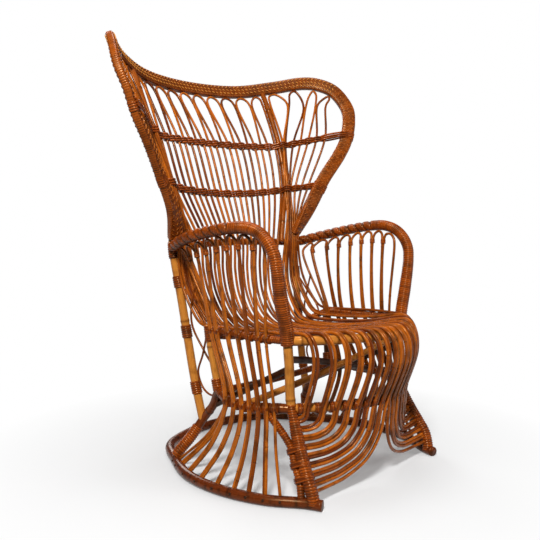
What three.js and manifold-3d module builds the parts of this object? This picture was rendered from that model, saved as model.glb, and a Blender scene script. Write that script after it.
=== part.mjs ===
// Peacock chair of bent cane: hairpin canes hang from a wide bound rim, run down the back,
// sweep forward as the seat, roll over the front rail and fan out to the feet.
// Millimetres. X is to the sitter's side, the chair faces -Y, Z is up from the floor.
import * as THREE from "three";
import { mergeVertices } from "three/addons/utils/BufferGeometryUtils.js";
import Module from "manifold-3d";

const wasm = await Module();
wasm.setup();

// Driving dimensions. Half widths are from the middle plane, depths from the front feet.
const HEIGHT = 1190; // top of the rim above the floor
const WING_HALF_WIDTH = 497;
const WING_DEPTH = 434; // the foremost edge of the wings
const CROWN_DEPTH = 775;
const JOINT_HEIGHT = 620; // where arm, wing and rear leg meet
const JOINT_HALF_WIDTH = 264;
const JOINT_DEPTH = 528;
const ARM_HEIGHT = 671; // centre of the arm at its highest
const ARM_HALF_WIDTH = 318;
const SEAT_HEIGHT = 395; // centre of the rails that carry the seat
const SEAT_DIP = 33; // how far the seat canes sag below the rails
const SEAT_REAR_DEPTH = 384;
const SEAT_REAR_HALF_WIDTH = 262;
const POST_DEPTH = 105;
const POST_HALF_WIDTH = 256; // front posts at the seat
const WAIST_HEIGHT = 225; // rails that gather the canes above the feet
const WAIST_HALF_WIDTH = 246; // front posts at the waist
const WAIST_SIDE_HALF_WIDTH = 287; // side poles of the waist where they bow out
const WAIST_REAR_HEIGHT = 212;
const SEAT_BOW = 125; // how far the front seat rail bows forward
const WAIST_BOW = 110;
const STAND_HALF_WIDTH = 230; // where a rear leg stands on the side pole
const STAND_DEPTH = 445;
const STAND_HEIGHT = 128;
const HOOP_HALF_WIDTH = 357;
const HOOP_DEPTH = 673;

// Stock sizes
const CANE_RADIUS = 3.6;
const ARM_CANE_RADIUS = 3.1;
const STRAND_HEIGHT = 10; // flat strands of the woven bands
const STRAND_THICKNESS = 4;
const STRAND_GAP = 1;
const STRAND_SLACK = 2; // between a strand and a cane it passes, for its bends
const BUNDLE_SLACK = 4; // the same at the canes bunched behind a pole
const THIN_CANE_RADIUS = 3;
const INNER_POLE_RADIUS = 10.5;
const REAR_LEG_RADIUS = 12;
const SIDE_POLE_RADIUS = 12;
const REAR_POLE_RADIUS = 11;
const FRONT_RAIL_RADIUS = 12;
const SEAT_RAIL_RADIUS = 10;
const BACK_RAIL_RADIUS = 11;
const BRACE_RADIUS = 9;
const FOOT_BRACE_RADIUS = 10;
const HOOP_RADIUS = 15;
const ARM_RADIUS = 16;
const POST_WRAP_RADIUS = 18; // post with its binding
const POST_RADIUS = 12;
const FOOT_RADIUS = 15;
const RIM_WIDTH = 45;
const RIM_THICKNESS = 22;
const PAIR_BINDING_RADIUS = 8; // sleeve round two arm canes side by side
const PAIR_BINDING_LENGTH = 14;
const BUNDLE_GAP = 2.4; // between an inner pole and the canes bunched round it
const CLEARANCE = 0.3; // left between pieces that touch

// Spacing of the canes
const LOOP_SPAN = 58; // rim taken by each loop between the inner poles
const ARCH_RISE = 32;
const ARM_ARCH_RISE = 22;
const WING_CANE_PITCH = 7.7; // wing canes where they pass the arms
const FRONT_PAIR_PITCH = 26.2; // pairs over the front rail, in the middle
const FRONT_PAIR_SPREAD = 19; // by which the eighth pair lies further out than that
const ROLL_BULGE = 40; // how far the canes stand out before the front rail
const SKIRT_BOW = 23; // how far back the canes bow below the waist
const ARM_REAR_INSET = 32; // arm canes inside the arm's axis, where their arches spring
const ARM_FRONT_INSET = 12;

// Sides of the sections, and counts
const CANE_SIDES = 5;
const STRAND_SIDES = 4;
const POLE_SIDES = 8;
const RAIL_SIDES = 7;
const BINDING_SIDES = 6;
const CENTRAL_LOOPS = 5; // on each side of the middle plane
const WING_LOOPS = 4;
const SPREAD_PAIR = 8; // the pair that FRONT_PAIR_SPREAD is given for

const CANE_PITCH = 2 * CANE_RADIUS + CLEARANCE;
const ARM_CANE_PITCH = 2 * ARM_CANE_RADIUS + CLEARANCE;
const CENTRAL_LEGS = 2 * CENTRAL_LOOPS;
const WING_LEGS = 2 * WING_LOOPS;
const RIM_LOOPS = CENTRAL_LOOPS + WING_LOOPS;
const POLE_SHIFT = INNER_POLE_RADIUS + 2 * CLEARANCE + CANE_RADIUS; // pole axis to the next cane
const BUNDLE_RADIUS = INNER_POLE_RADIUS + CANE_RADIUS + BUNDLE_GAP;

const chair = new THREE.Group();
const SIDES = [["left", -1], ["right", 1]];

// Small helpers
const at = (x, y, z) => new THREE.Vector3(x, y, z);
const mix = THREE.MathUtils.lerp;
const mirrored = (points, side) => points.map((p) => at(p.x * side, p.y, p.z));
const between = (a, b, [x, y, z]) => at(mix(a.x, b.x, x), mix(a.y, b.y, y), mix(a.z, b.z, z));
const placesBetween = (a, b, rows) => rows.map((row) => between(a, b, row));
const halfway = (a, b) => a.clone().lerp(b, 0.5);

// A curve whose even steps fall on its own points.
class StationCurve extends THREE.CatmullRomCurve3 {
  getUtoTmapping(u) {
    return u;
  }
}

function curve(points) {
  return new StationCurve(points, false, "centripetal");
}

// The points of a smooth curve at the given station numbers.
function sampled(points, stations) {
  const line = curve(points);
  return stations.map((station) => line.getPoint(station / (points.length - 1)));
}

const everyStation = (points, perSpan) => {
  const count = (points.length - 1) * perSpan;
  return Array.from({ length: count + 1 }, (_, i) => i / perSpan);
};

// A curve measured along its length, for placing pieces along it.
function measured(points) {
  const line = new THREE.CatmullRomCurve3(points, false, "centripetal");
  line.arcLengthDivisions = 400;
  const length = line.getLength();
  const share = (distance) => THREE.MathUtils.clamp(distance / length, 0, 1);
  return {
    length,
    point: (distance) => line.getPointAt(share(distance)),
    tangent: (distance) => line.getTangentAt(share(distance)),
  };
}

function sectionShape(radius, sides) {
  const corners = [];
  for (let i = 0; i < sides; i++) {
    const angle = ((i + 0.5) / sides) * 2 * Math.PI;
    corners.push(new THREE.Vector2(radius * Math.cos(angle), radius * Math.sin(angle)));
  }
  return new THREE.Shape(corners);
}

// A round rod with a ring on each of its points.
const rod = (points, radius, sides = POLE_SIDES) => ({ points, radius, sides });

function rodGeometry(member, grow = 0) {
  const radius = member.radius + grow / Math.cos(Math.PI / member.sides);
  return new THREE.ExtrudeGeometry(sectionShape(radius, member.sides), {
    steps: member.points.length - 1,
    extrudePath: curve(member.points),
  });
}

// A closed body through rings of equally many points.
function loftGeometry(rings) {
  const count = rings[0].length;
  const vertices = rings.flat();
  const faces = [];
  for (let r = 0; r + 1 < rings.length; r++) {
    for (let i = 0; i < count; i++) {
      const a = r * count + i;
      const b = r * count + ((i + 1) % count);
      faces.push(a, b, a + count, b, b + count, a + count);
    }
  }
  const last = vertices.length - count;
  for (let i = 1; i + 1 < count; i++) {
    faces.push(0, i + 1, i);
    faces.push(last, last + i, last + i + 1);
  }
  return new THREE.BufferGeometry().setFromPoints(vertices).setIndex(faces);
}

// A rod whose radius changes from point to point.
function taperedGeometry(points, radii, grow = 0) {
  const line = curve(points);
  const frames = line.computeFrenetFrames(points.length - 1, false);
  const rings = points.map((point, i) => {
    const radius = radii[i] + grow / Math.cos(Math.PI / POLE_SIDES);
    return Array.from({ length: POLE_SIDES }, (_, k) => {
      const angle = ((k + 0.5) / POLE_SIDES) * 2 * Math.PI;
      return point.clone()
        .addScaledVector(frames.normals[i], radius * Math.cos(angle))
        .addScaledVector(frames.binormals[i], radius * Math.sin(angle));
    });
  });
  return loftGeometry(rings);
}

function solidOf(geometry) {
  const bare = geometry.clone();
  bare.deleteAttribute("normal");
  bare.deleteAttribute("uv");
  const merged = mergeVertices(bare, CLEARANCE / 1000);
  const triVerts = new Uint32Array(merged.index.array);
  return new wasm.Manifold(
    new wasm.Mesh({ numProp: 3, vertProperties: merged.attributes.position.array, triVerts }),
  );
}

function geometryOf(solid) {
  const mesh = solid.getMesh();
  const geometry = new THREE.BufferGeometry();
  geometry.setAttribute("position", new THREE.BufferAttribute(mesh.vertProperties, mesh.numProp));
  geometry.setIndex(new THREE.BufferAttribute(mesh.triVerts, 1));
  geometry.computeVertexNormals();
  return geometry;
}

const solidRod = (member, grow = 0) => solidOf(rodGeometry(member, grow));
const joined = (solids) => solids.reduce((whole, solid) => whole.add(solid));

// The piece with the place of each neighbour cut away, without the offcuts.
function fitted(solid, neighbours) {
  const cut = neighbours.reduce((rest, neighbour) => rest.subtract(neighbour), solid);
  return cut.decompose().reduce((a, b) => (a.volume() > b.volume() ? a : b));
}

const FINISHES = {
  cane: { color: 0xb0622a, roughness: 0.42, metalness: 0 },
  pole: { color: 0xc9924c, roughness: 0.4, metalness: 0 },
  wrap: { color: 0x96502a, roughness: 0.45, metalness: 0 },
  foot: { color: 0x5f3420, roughness: 0.5, metalness: 0 },
};

function add(name, solid, finish) {
  const mesh = new THREE.Mesh(geometryOf(solid), new THREE.MeshStandardMaterial(FINISHES[finish]));
  mesh.name = name;
  chair.add(mesh);
}

// Named places of the right half
const joint = at(JOINT_HALF_WIDTH, JOINT_DEPTH, JOINT_HEIGHT);
const armCorner = at(ARM_HALF_WIDTH, POST_DEPTH, ARM_HEIGHT);
const postSeat = at(POST_HALF_WIDTH, POST_DEPTH, SEAT_HEIGHT);
const postWaist = at(WAIST_HALF_WIDTH, POST_DEPTH, WAIST_HEIGHT);
const seatCorner = at(SEAT_REAR_HALF_WIDTH, SEAT_REAR_DEPTH, SEAT_HEIGHT);
const stand = at(STAND_HALF_WIDTH, STAND_DEPTH, STAND_HEIGHT);

// Floor hoop, flat underneath, open at the front
const HOOP_SHARES = [
  [0.734, -0.012], [0.773, 0.045], [0.919, 0.178], [1, 0.371], [0.961, 0.565],
  [0.798, 0.743], [0.602, 0.9], [0.308, 0.973], [0, 1],
];
const HOOP_LEVEL = HOOP_RADIUS * Math.cos(Math.PI / POLE_SIDES);
const hoopHalf = HOOP_SHARES.map(([x, y]) => at(x * HOOP_HALF_WIDTH, y * HOOP_DEPTH, HOOP_LEVEL));
const hoopWhole = [...hoopHalf, ...mirrored(hoopHalf, -1).reverse().slice(1)];
const hoop = rod(hoopWhole, HOOP_RADIUS);
const onHoop = (station) => curve(hoopHalf).getPoint(station / (hoopHalf.length - 1));
const FRONT_FOOT_STATION = 0.55;
const FOOT_BRACE_STATION = 1.12;
const REAR_FOOT_STATION = 5;
const frontFoot = onHoop(FRONT_FOOT_STATION);
const rearFoot = onHoop(REAR_FOOT_STATION);

// Arm, front post and foot strut: one bent pole on each side, bound where the canes pass it
const ARM_SHARES = [
  [0.15, 0.03, -0.08], [0.815, 0.253, 0.41], [1, 0.51, 0.82], [0.963, 0.68, 1], [0.796, 0.79, 1],
  [0.76, 0.88, 0.765], [0.74, 0.946, 0.31], [0.685, 0.988, -0.29], [0.61, 1, -0.98],
];
const POST_SHARES = [[0.4, 0, 0.418], [0.08, 0, 0.089]];
const UNDER_SEAT_SHARES = [[0.08, 0, 0.2], [0.4, 0, 0.35], [1, 0, 0.9]];
const STRUT_SHARES = [
  [0.06, 0.12, 0.12], [0.12, 0.22, 0.25], [0.5, 0.44, 0.445], [0.85, 0.65, 0.607],
  [1.1, 0.86, 0.77], [1.05, 0.96, 0.9], [1, 1, 1],
];
const armPoints = [
  ...placesBetween(joint, armCorner, ARM_SHARES),
  ...placesBetween(postSeat, at(ARM_HALF_WIDTH, POST_DEPTH, JOINT_HEIGHT), POST_SHARES),
  ...placesBetween(postSeat, postWaist, UNDER_SEAT_SHARES),
  ...placesBetween(postWaist, frontFoot, STRUT_SHARES),
];
const armRadii = [
  ...ARM_SHARES.map(() => ARM_RADIUS),
  ...POST_SHARES.map(() => POST_WRAP_RADIUS),
  POST_WRAP_RADIUS, POST_RADIUS, POST_RADIUS,
  POST_RADIUS, ...STRUT_SHARES.slice(1).map(() => FOOT_RADIUS),
];

// Rear leg, standing on the side pole of the waist
const REAR_LEG_SHARES = [
  [0, 0, -0.06], [0.06, 0, 0.04], [0.3, 0.22, 0.27], [0.59, 0.47, 0.55], [0.765, 0.7, 0.77], [1, 1, 1],
];
const rearLeg = (side) => rod(mirrored(placesBetween(joint, stand, REAR_LEG_SHARES), side), REAR_LEG_RADIUS);

// Side pole of the waist, from the front post round to the floor behind the rear leg
const WAIST_SIDE_SHARES = [
  [0, 0, 0], [0.24, 0.04, 0], [0.707, 0.162, 0.03], [1, 0.338, 0.07], [0.756, 0.574, 0.05],
  [-0.073, 0.765, 0], [-0.45, 0.882, 0.515],
];
const REAR_STRUT_SHARES = [[0.51, 0.45, 0.465], [0.95, 0.82, 0.8], [1, 1, 1]];
const sidePolePoints = [
  ...placesBetween(postWaist, at(WAIST_SIDE_HALF_WIDTH, STAND_DEPTH, STAND_HEIGHT), WAIST_SIDE_SHARES),
  stand,
  ...placesBetween(stand, rearFoot, REAR_STRUT_SHARES),
];
const sidePole = (side) => rod(mirrored(sidePolePoints, side), SIDE_POLE_RADIUS);

// Rear pole: a short post from the seat's rear corner down to the waist
const REAR_POLE_HEAD = 12; // above the centre of the seat rails
const REAR_POLE_SHARES = [[0, 0, 0], [0.35, 0.15, 0.35], [1, 1, 1]];
const rearPoleTop = at(seatCorner.x, seatCorner.y, seatCorner.z + REAR_POLE_HEAD);
const rearPoleFoot = sidePolePoints[5];
const rearPole = (side) =>
  rod(mirrored(placesBetween(rearPoleTop, rearPoleFoot, REAR_POLE_SHARES), side), REAR_POLE_RADIUS);

// The rim: a flat bound band. Its outer edge is a curve with a direction inwards at each station.
const WING_SHARES = [
  { edge: [0.069, 0, 0.028], inward: [-0.97, -0.2, 0.05] },
  { edge: [0.226, 0.479, 0.174], inward: [-0.9, 0.4, 0] },
  { edge: [0.464, 0.713, 0.346], inward: [-0.79, 0.62, 0] },
  { edge: [0.69, 0.936, 0.482], inward: [-0.76, 0.65, 0] },
  { edge: [0.837, 1, 0.58], inward: [-0.74, 0.66, -0.05] },
  { edge: [0.944, 0.957, 0.705], inward: [-0.73, 0.65, -0.15] },
  { edge: [1, 0.755, 0.806], inward: [-0.72, 0.52, -0.42] },
];
const CROWN_SHARES = [
  { edge: [0.958, 0.22, 0.932], inward: [-0.63, 0.26, -0.73] },
  { edge: [0.89, 0.382, 0.985], inward: [-0.46, 0.12, -0.87] },
  { edge: [0.817, 0.522, 0.995], inward: [-0.38, -0.08, -0.92] },
  { edge: [0.647, 0.732, 0.961], inward: [-0.29, -0.34, -0.89] },
  { edge: [0.39, 0.901, 0.919], inward: [-0.07, -0.47, -0.88] },
  { edge: [0, 1, 0.907], inward: [0, -0.525, -0.85] },
];
const RIM_STEPS_PER_SPAN = 2;
const RIM_CORNER_SHARE = 0.35; // of the thickness, taken off the corners

const wingTip = at(WING_HALF_WIDTH, WING_DEPTH, HEIGHT);
const crownFoot = at(0, WING_DEPTH, JOINT_HEIGHT);
const crownTip = at(WING_HALF_WIDTH, CROWN_DEPTH, HEIGHT);
const rimEdges = [
  ...placesBetween(joint, wingTip, WING_SHARES.map((row) => row.edge)),
  ...placesBetween(crownFoot, crownTip, CROWN_SHARES.map((row) => row.edge)),
];
const rimInwards = [...WING_SHARES, ...CROWN_SHARES].map(({ inward }) => at(...inward).normalize());
const wholeRim = [...rimEdges, ...mirrored(rimEdges, -1).reverse().slice(1)];
const wholeInwards = [...rimInwards, ...mirrored(rimInwards, -1).reverse().slice(1)];
const rimCurve = curve(wholeRim);
const rimInwardCurve = curve(wholeInwards);
const CROWN_STATION = rimEdges.length - 1;

// Outer edge, tangent, inward direction and face normal of the rim at a station.
function rimFrame(station) {
  const t = station / (wholeRim.length - 1);
  const edge = rimCurve.getPoint(t);
  const tangent = rimCurve.getTangent(t);
  const inward = rimInwardCurve.getPoint(t);
  inward.addScaledVector(tangent, -inward.dot(tangent)).normalize();
  const normal = at(0, 0, 0).crossVectors(tangent, inward).normalize();
  return { edge, tangent, inward, normal };
}

function rimSolid(grow = 0) {
  const steps = (wholeRim.length - 1) * RIM_STEPS_PER_SPAN;
  const corner = RIM_THICKNESS * RIM_CORNER_SHARE;
  const half = RIM_THICKNESS / 2 + grow;
  const outline = [
    [-grow, corner - half], [corner - grow, -half],
    [RIM_WIDTH - corner + grow, -half], [RIM_WIDTH + grow, corner - half],
    [RIM_WIDTH + grow, half - corner], [RIM_WIDTH - corner + grow, half],
    [corner - grow, half], [-grow, half - corner],
  ];
  const rings = [];
  for (let i = 0; i <= steps; i++) {
    const { edge, inward, normal } = rimFrame(i / RIM_STEPS_PER_SPAN);
    rings.push(outline.map(([w, h]) => edge.clone().addScaledVector(inward, w).addScaledVector(normal, h)));
  }
  return solidOf(loftGeometry(rings));
}

function rimInner(station, depth = 0) {
  const { edge, inward } = rimFrame(station);
  return edge.addScaledVector(inward, RIM_WIDTH + depth);
}

// Stations of the right half of the rim by length along its inner edge from the crown's middle.
const RIM_SAMPLES = 480;
const rimLengths = [{ station: CROWN_STATION, length: 0 }];
for (let i = 1; i <= RIM_SAMPLES; i++) {
  const station = CROWN_STATION * (1 - i / RIM_SAMPLES);
  const before = rimLengths[i - 1];
  const step = rimInner(station).distanceTo(rimInner(before.station));
  rimLengths.push({ station, length: before.length + step });
}

function rimStation(length) {
  const after = rimLengths.findIndex((sample) => sample.length > length);
  const a = rimLengths[after - 1];
  const b = rimLengths[after];
  return mix(a.station, b.station, (length - a.length) / (b.length - a.length));
}

// Wing loops take more of the rim and have longer arches than the others.
const WING_ARCHES = [
  { spanShare: 1.38, riseShare: 1.5 }, { spanShare: 1.2, riseShare: 2.1 },
  { spanShare: 1.18, riseShare: 1.5 }, { spanShare: 0.9, riseShare: 1 },
];

// Length along the rim from the crown's middle to the boundary after a loop.
function boundaryLength(boundary) {
  const wings = WING_ARCHES.slice(0, Math.max(boundary - CENTRAL_LOOPS, 0));
  const central = Math.min(boundary, CENTRAL_LOOPS);
  return LOOP_SPAN * wings.reduce((sum, arch) => sum + arch.spanShare, central);
}

// Point of the back that lies at a boundary between loops, moved along the rim.
function shoulder(boundary, shift) {
  const station = rimStation(boundaryLength(boundary));
  const arch = WING_ARCHES[boundary - CENTRAL_LOOPS - 1] ?? { riseShare: 1 };
  const depth = ARCH_RISE * arch.riseShare + CANE_RADIUS + CLEARANCE;
  const along = rimFrame(station).tangent.negate();
  return rimInner(station, depth).addScaledVector(along, shift);
}

// Cross curves of the back, from the middle plane to the rim
const UPPER_SHARES = [
  [0, 0.622, 0.542], [0.282, 0.589, 0.544], [0.533, 0.501, 0.556], [0.714, 0.267, 0.596], [0.885, 0.032, 0.634],
];
const LOWER_SHARES = [
  [0, 0.457, 0.263], [0.262, 0.437, 0.272], [0.497, 0.378, 0.295], [0.604, 0.267, 0.311], [0.674, 0.194, 0.321],
];
const UPPER_POLE_SHARE = 0.54; // of a cross curve, from the middle to the inner pole
const LOWER_POLE_SHARE = 0.714;

// Wing canes from the inner pole outwards and behind it, in shares of the bundle's radius
const UPPER_BUNDLE_SHARES = [
  [0.64, 0.77], [0.88, 0.47], [1.41, 0], [3.03, 0], [4.56, 0], [6.19, 0], [7.94, 0], [9.81, 0],
];
const LOWER_BUNDLE_SHARES = [
  [-0.28, 0.96], [0.21, 0.98], [0.64, 0.77], [0.93, 0.37], [1.26, 0], [2.25, 0], [3.56, 0], [4.94, 0],
];
const FOOT_BUNDLE_SHARES = [
  [0.72, 0.88], [1, 0.42], [1.28, 0], [1.73, 0], [2.22, 0], [2.72, 0], [3.24, 0], [3.8, 0],
];

function crossCurve(index, shares, poleShare, bundle) {
  const line = measured(placesBetween(crownFoot, crownTip, shares));
  const pole = line.length * poleShare;
  return { index, line, pole, bundle, centralPitch: (pole - POLE_SHIFT) / (CENTRAL_LEGS - 0.5) };
}
const upper = crossCurve(1, UPPER_SHARES, UPPER_POLE_SHARE, UPPER_BUNDLE_SHARES);
const lower = crossCurve(2, LOWER_SHARES, LOWER_POLE_SHARE, LOWER_BUNDLE_SHARES);

// Cross sections of the lower back and the seat, as depth, rise and dip in the middle and at the side
const SEAT_LEVEL_SHARES = [
  { middle: [1.024, 1, 0], side: [0.953, 0.964, 0], front: 0, power: 2 },
  { middle: [1.017, 0.6, 0], side: [0.941, 0.747, 0], front: 0.17, power: 2 },
  { middle: [0.976, 0.267, 0], side: [0.905, 0.489, 0], front: 0.38, power: 2 },
  { middle: [0.882, 0, 0], side: [0.816, 0.213, 0], front: 0.58, power: 2 },
  { middle: [0.745, 0, 0.82], side: [0.726, 0.058, 0], front: 0.74, power: 4 },
  { middle: [0.508, 0, 1], side: [0.532, 0.053, 0], front: 0.88, power: 4 },
  { middle: [0.13, 0, 0.5], side: [0.225, 0.076, 0], front: 0.96, power: 4 },
];
const ARM_LEVEL = SEAT_LEVEL_SHARES[0];
const ARM_POLE_SHARE = 0.728; // of the joint's half width, to the foot of the inner pole
const armPoleX = JOINT_HALF_WIDTH * ARM_POLE_SHARE;

function acrossArms(cane) {
  if (cane < CENTRAL_LEGS) return (cane * (armPoleX - POLE_SHIFT)) / (CENTRAL_LEGS - 0.5);
  return armPoleX + BUNDLE_RADIUS + (cane - CENTRAL_LEGS - 0.5) * WING_CANE_PITCH;
}

// Over the front rail neighbouring canes lie in pairs, closest in the middle.
const pairOf = (cane) => Math.floor((cane + 0.5) / 2);
function acrossFront(cane) {
  const pair = pairOf(cane);
  const middle = FRONT_PAIR_PITCH * pair + FRONT_PAIR_SPREAD * (pair / SPREAD_PAIR) ** 4;
  return middle + (cane - 2 * pair) * CANE_PITCH;
}

function seatPoint(level, x) {
  const u = x / JOINT_HALF_WIDTH;
  const depth = mix(level.middle[0], level.side[0], u ** 2);
  const rise = mix(level.middle[1], level.side[1], u ** level.power);
  const dip = mix(level.middle[2], level.side[2], u ** level.power);
  return at(
    x,
    mix(POST_DEPTH, JOINT_DEPTH, depth),
    mix(SEAT_HEIGHT, JOINT_HEIGHT, rise) - dip * SEAT_DIP,
  );
}
const seatLevelPoint = (level, cane) =>
  seatPoint(level, mix(acrossArms(cane), acrossFront(cane), level.front));

// Canes are numbered from the middle: 0.5, 1.5 and so on. The pole stands between two of them.
function onCross(cross, cane) {
  if (cane < CENTRAL_LEGS) return cross.line.point(cane * cross.centralPitch);
  const [out, behind] = cross.bundle[cane - CENTRAL_LEGS - 0.5];
  return cross.line.point(cross.pole + out * BUNDLE_RADIUS)
    .addScaledVector(cross.behind, behind * BUNDLE_RADIUS);
}

// The way the back faces, towards the sitter, at a length along a cross curve.
const facing = (cross, length, down) => cross.line.tangent(length).cross(down).normalize();
const poleFootPoint = seatPoint(ARM_LEVEL, armPoleX);
const poleStops = [
  shoulder(CENTRAL_LOOPS, 0), upper.line.point(upper.pole), lower.line.point(lower.pole), poleFootPoint,
];
upper.behind = facing(upper, upper.pole, poleStops[2].clone().sub(poleStops[0])).negate();
lower.behind = facing(lower, lower.pole, poleStops[3].clone().sub(poleStops[1])).negate();

// Between lower band and arms the bundle opens into a row beside the pole.
const poleMiddle = halfway(poleStops[2], poleFootPoint);
const reachMiddle = halfway(
  lower.line.point(lower.pole + BUNDLE_RADIUS),
  seatPoint(ARM_LEVEL, armPoleX + BUNDLE_RADIUS),
);
const outMiddle = reachMiddle.sub(poleMiddle).normalize();
function bundleMiddle(cane) {
  const [out, behind] = FOOT_BUNDLE_SHARES[cane - CENTRAL_LEGS - 0.5];
  return poleMiddle.clone()
    .addScaledVector(outMiddle, out * BUNDLE_RADIUS)
    .addScaledVector(lower.behind, behind * BUNDLE_RADIUS);
}

// Front rails: bowed forward between the posts
const bowedDepth = (x, halfWidth, bow) => POST_DEPTH - bow * (1 - (x / halfWidth) ** 2);
const slant = (x, halfWidth, bow) => Math.hypot(1, (2 * bow * x) / halfWidth ** 2);

// The canes roll over the front seat rail and drop to the waist.
const RAIL_TO_CANE = FRONT_RAIL_RADIUS + CLEARANCE + CANE_RADIUS;
const ROLL_SHARES = [
  { over: [0.32, 1.1], bulge: [0, 0] },
  { over: [-0.74, 0.88], bulge: [0, 0] },
  { over: [0, 0], bulge: [-0.8, -0.2] },
  { over: [0, 0], bulge: [-1, -1.5] },
];
function rollPoints(x) {
  const rail = bowedDepth(x, POST_HALF_WIDTH, SEAT_BOW);
  const reach = RAIL_TO_CANE * slant(x, POST_HALF_WIDTH, SEAT_BOW);
  return ROLL_SHARES.map(({ over, bulge }) => at(
    x,
    rail + over[0] * reach + bulge[0] * ROLL_BULGE,
    SEAT_HEIGHT + over[1] * RAIL_TO_CANE + bulge[1] * ROLL_BULGE,
  ));
}

// From the waist each cane sweeps outwards to its place on the foot strut.
const SKIRT_SHARES = [ // outwards, down, and of the bow backwards
  [0.03, 0.15, 0.15], [0.09, 0.47, 0.5], [0.28, 0.76, 0.7], [0.56, 0.96, 1], [0.8, 1, 0.7], [1, 1, 0],
];
const LANDING_TOP_SHARE = 0.12; // of the strut's length, to the outermost cane
const LANDING_END_SHARE = 0.9;
const OUTERMOST = 2 * RIM_LOOPS - 1.5; // the cane next to the one along the seat's edge
const strut = measured([postWaist, ...placesBetween(postWaist, frontFoot, STRUT_SHARES)]);
function skirtPoints(cane) {
  const x = acrossFront(cane);
  const reach = RAIL_TO_CANE * slant(x, WAIST_HALF_WIDTH, WAIST_BOW);
  const waist = at(x, bowedDepth(x, WAIST_HALF_WIDTH, WAIST_BOW) - reach, WAIST_HEIGHT);
  const order = (OUTERMOST - cane) / (OUTERMOST - 0.5);
  const landing = strut.point(strut.length * mix(LANDING_TOP_SHARE, LANDING_END_SHARE, order));
  return [waist, ...SKIRT_SHARES.map(([out, down, bow]) => {
    const point = between(waist, landing, [out, out, down]);
    return point.setY(point.y + bow * order * SKIRT_BOW);
  })];
}

// The outermost cane runs along the seat's edge to the front post.
function seatAndFront(cane) {
  const seat = SEAT_LEVEL_SHARES.map((level) => seatLevelPoint(level, cane));
  if (cane > OUTERMOST) return [...seat, at(POST_HALF_WIDTH, POST_DEPTH, SEAT_HEIGHT + RAIL_TO_CANE)];
  return [...seat, ...rollPoints(acrossFront(cane)), ...skirtPoints(cane)];
}

// Loops of the rim. Each is one cane, bent to a half ellipse at the top.
const ARCH_ANGLES = [0.75, 0.5, 0.25]; // half turns
function archPoints(from, to, apex) {
  const centre = halfway(from, to);
  const across = to.clone().sub(from).multiplyScalar(0.5);
  const rise = apex.clone().sub(centre);
  return ARCH_ANGLES.map((turn) => centre.clone()
    .addScaledVector(across, Math.cos(turn * Math.PI))
    .addScaledVector(rise, Math.sin(turn * Math.PI)));
}

const shoulderShift = (boundary) => (boundary === CENTRAL_LOOPS ? POLE_SHIFT : CANE_PITCH / 2);
function loopTop(loop) {
  const from = shoulder(loop - 1, shoulderShift(loop - 1));
  const to = shoulder(loop, -shoulderShift(loop));
  const length = (boundaryLength(loop - 1) + boundaryLength(loop)) / 2;
  const apex = rimInner(rimStation(length), CANE_RADIUS + CLEARANCE);
  return [from, ...archPoints(from, to, apex), to];
}

function leg(cane) {
  const middle = cane > CENTRAL_LEGS ? [bundleMiddle(cane)] : [];
  return [onCross(upper, cane), onCross(lower, cane), ...middle, ...seatAndFront(cane)];
}

function loopMember(loop, side) {
  const first = 2 * loop - 1.5;
  const points = [...leg(first).reverse(), ...loopTop(loop), ...leg(first + 1)];
  return rod(mirrored(points, side), CANE_RADIUS, CANE_SIDES);
}

// Inner poles stand in the surface of the canes, from the rim to the rail behind the lower back.
function innerPole(side) {
  const top = rimInner(rimStation(boundaryLength(CENTRAL_LOOPS)), -RIM_WIDTH / 2);
  const points = [top, ...poleStops.slice(0, 3), poleMiddle, poleFootPoint];
  return rod(mirrored(points, side), INNER_POLE_RADIUS);
}

// Rail behind the lower back, between the rear legs
const BACK_RAIL_STATIONS = 12;
const BACK_RAIL_LEAN_SHARE = 1.08; // the canes lean against the rail
function backRail() {
  const behind = (BACK_RAIL_RADIUS + CLEARANCE + CANE_RADIUS) * BACK_RAIL_LEAN_SHARE;
  const points = [];
  for (let i = 0; i <= BACK_RAIL_STATIONS; i++) {
    const x = JOINT_HALF_WIDTH * ((2 * i) / BACK_RAIL_STATIONS - 1);
    const point = seatPoint(ARM_LEVEL, x);
    points.push(point.setY(point.y + behind));
  }
  return rod(points, BACK_RAIL_RADIUS, RAIL_SIDES);
}

// Rails and braces of the seat and the base
const FRONT_RAIL_STATIONS = 10;
function bowedRail(halfWidth, bow, height) {
  const points = [];
  for (let i = 0; i <= FRONT_RAIL_STATIONS; i++) {
    const x = halfWidth * ((2 * i) / FRONT_RAIL_STATIONS - 1);
    points.push(at(x, bowedDepth(x, halfWidth, bow), height));
  }
  return rod(points, FRONT_RAIL_RADIUS, POLE_SIDES);
}
const SIDE_RAIL_SHARES = [[0, 0, 0], [1.6, 0.2, 0], [2.2, 0.5, 0], [1.6, 0.8, 0], [1, 1, 0]];
const sideRail = (side) =>
  rod(mirrored(placesBetween(postSeat, seatCorner, SIDE_RAIL_SHARES), side), SEAT_RAIL_RADIUS, RAIL_SIDES);

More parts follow.
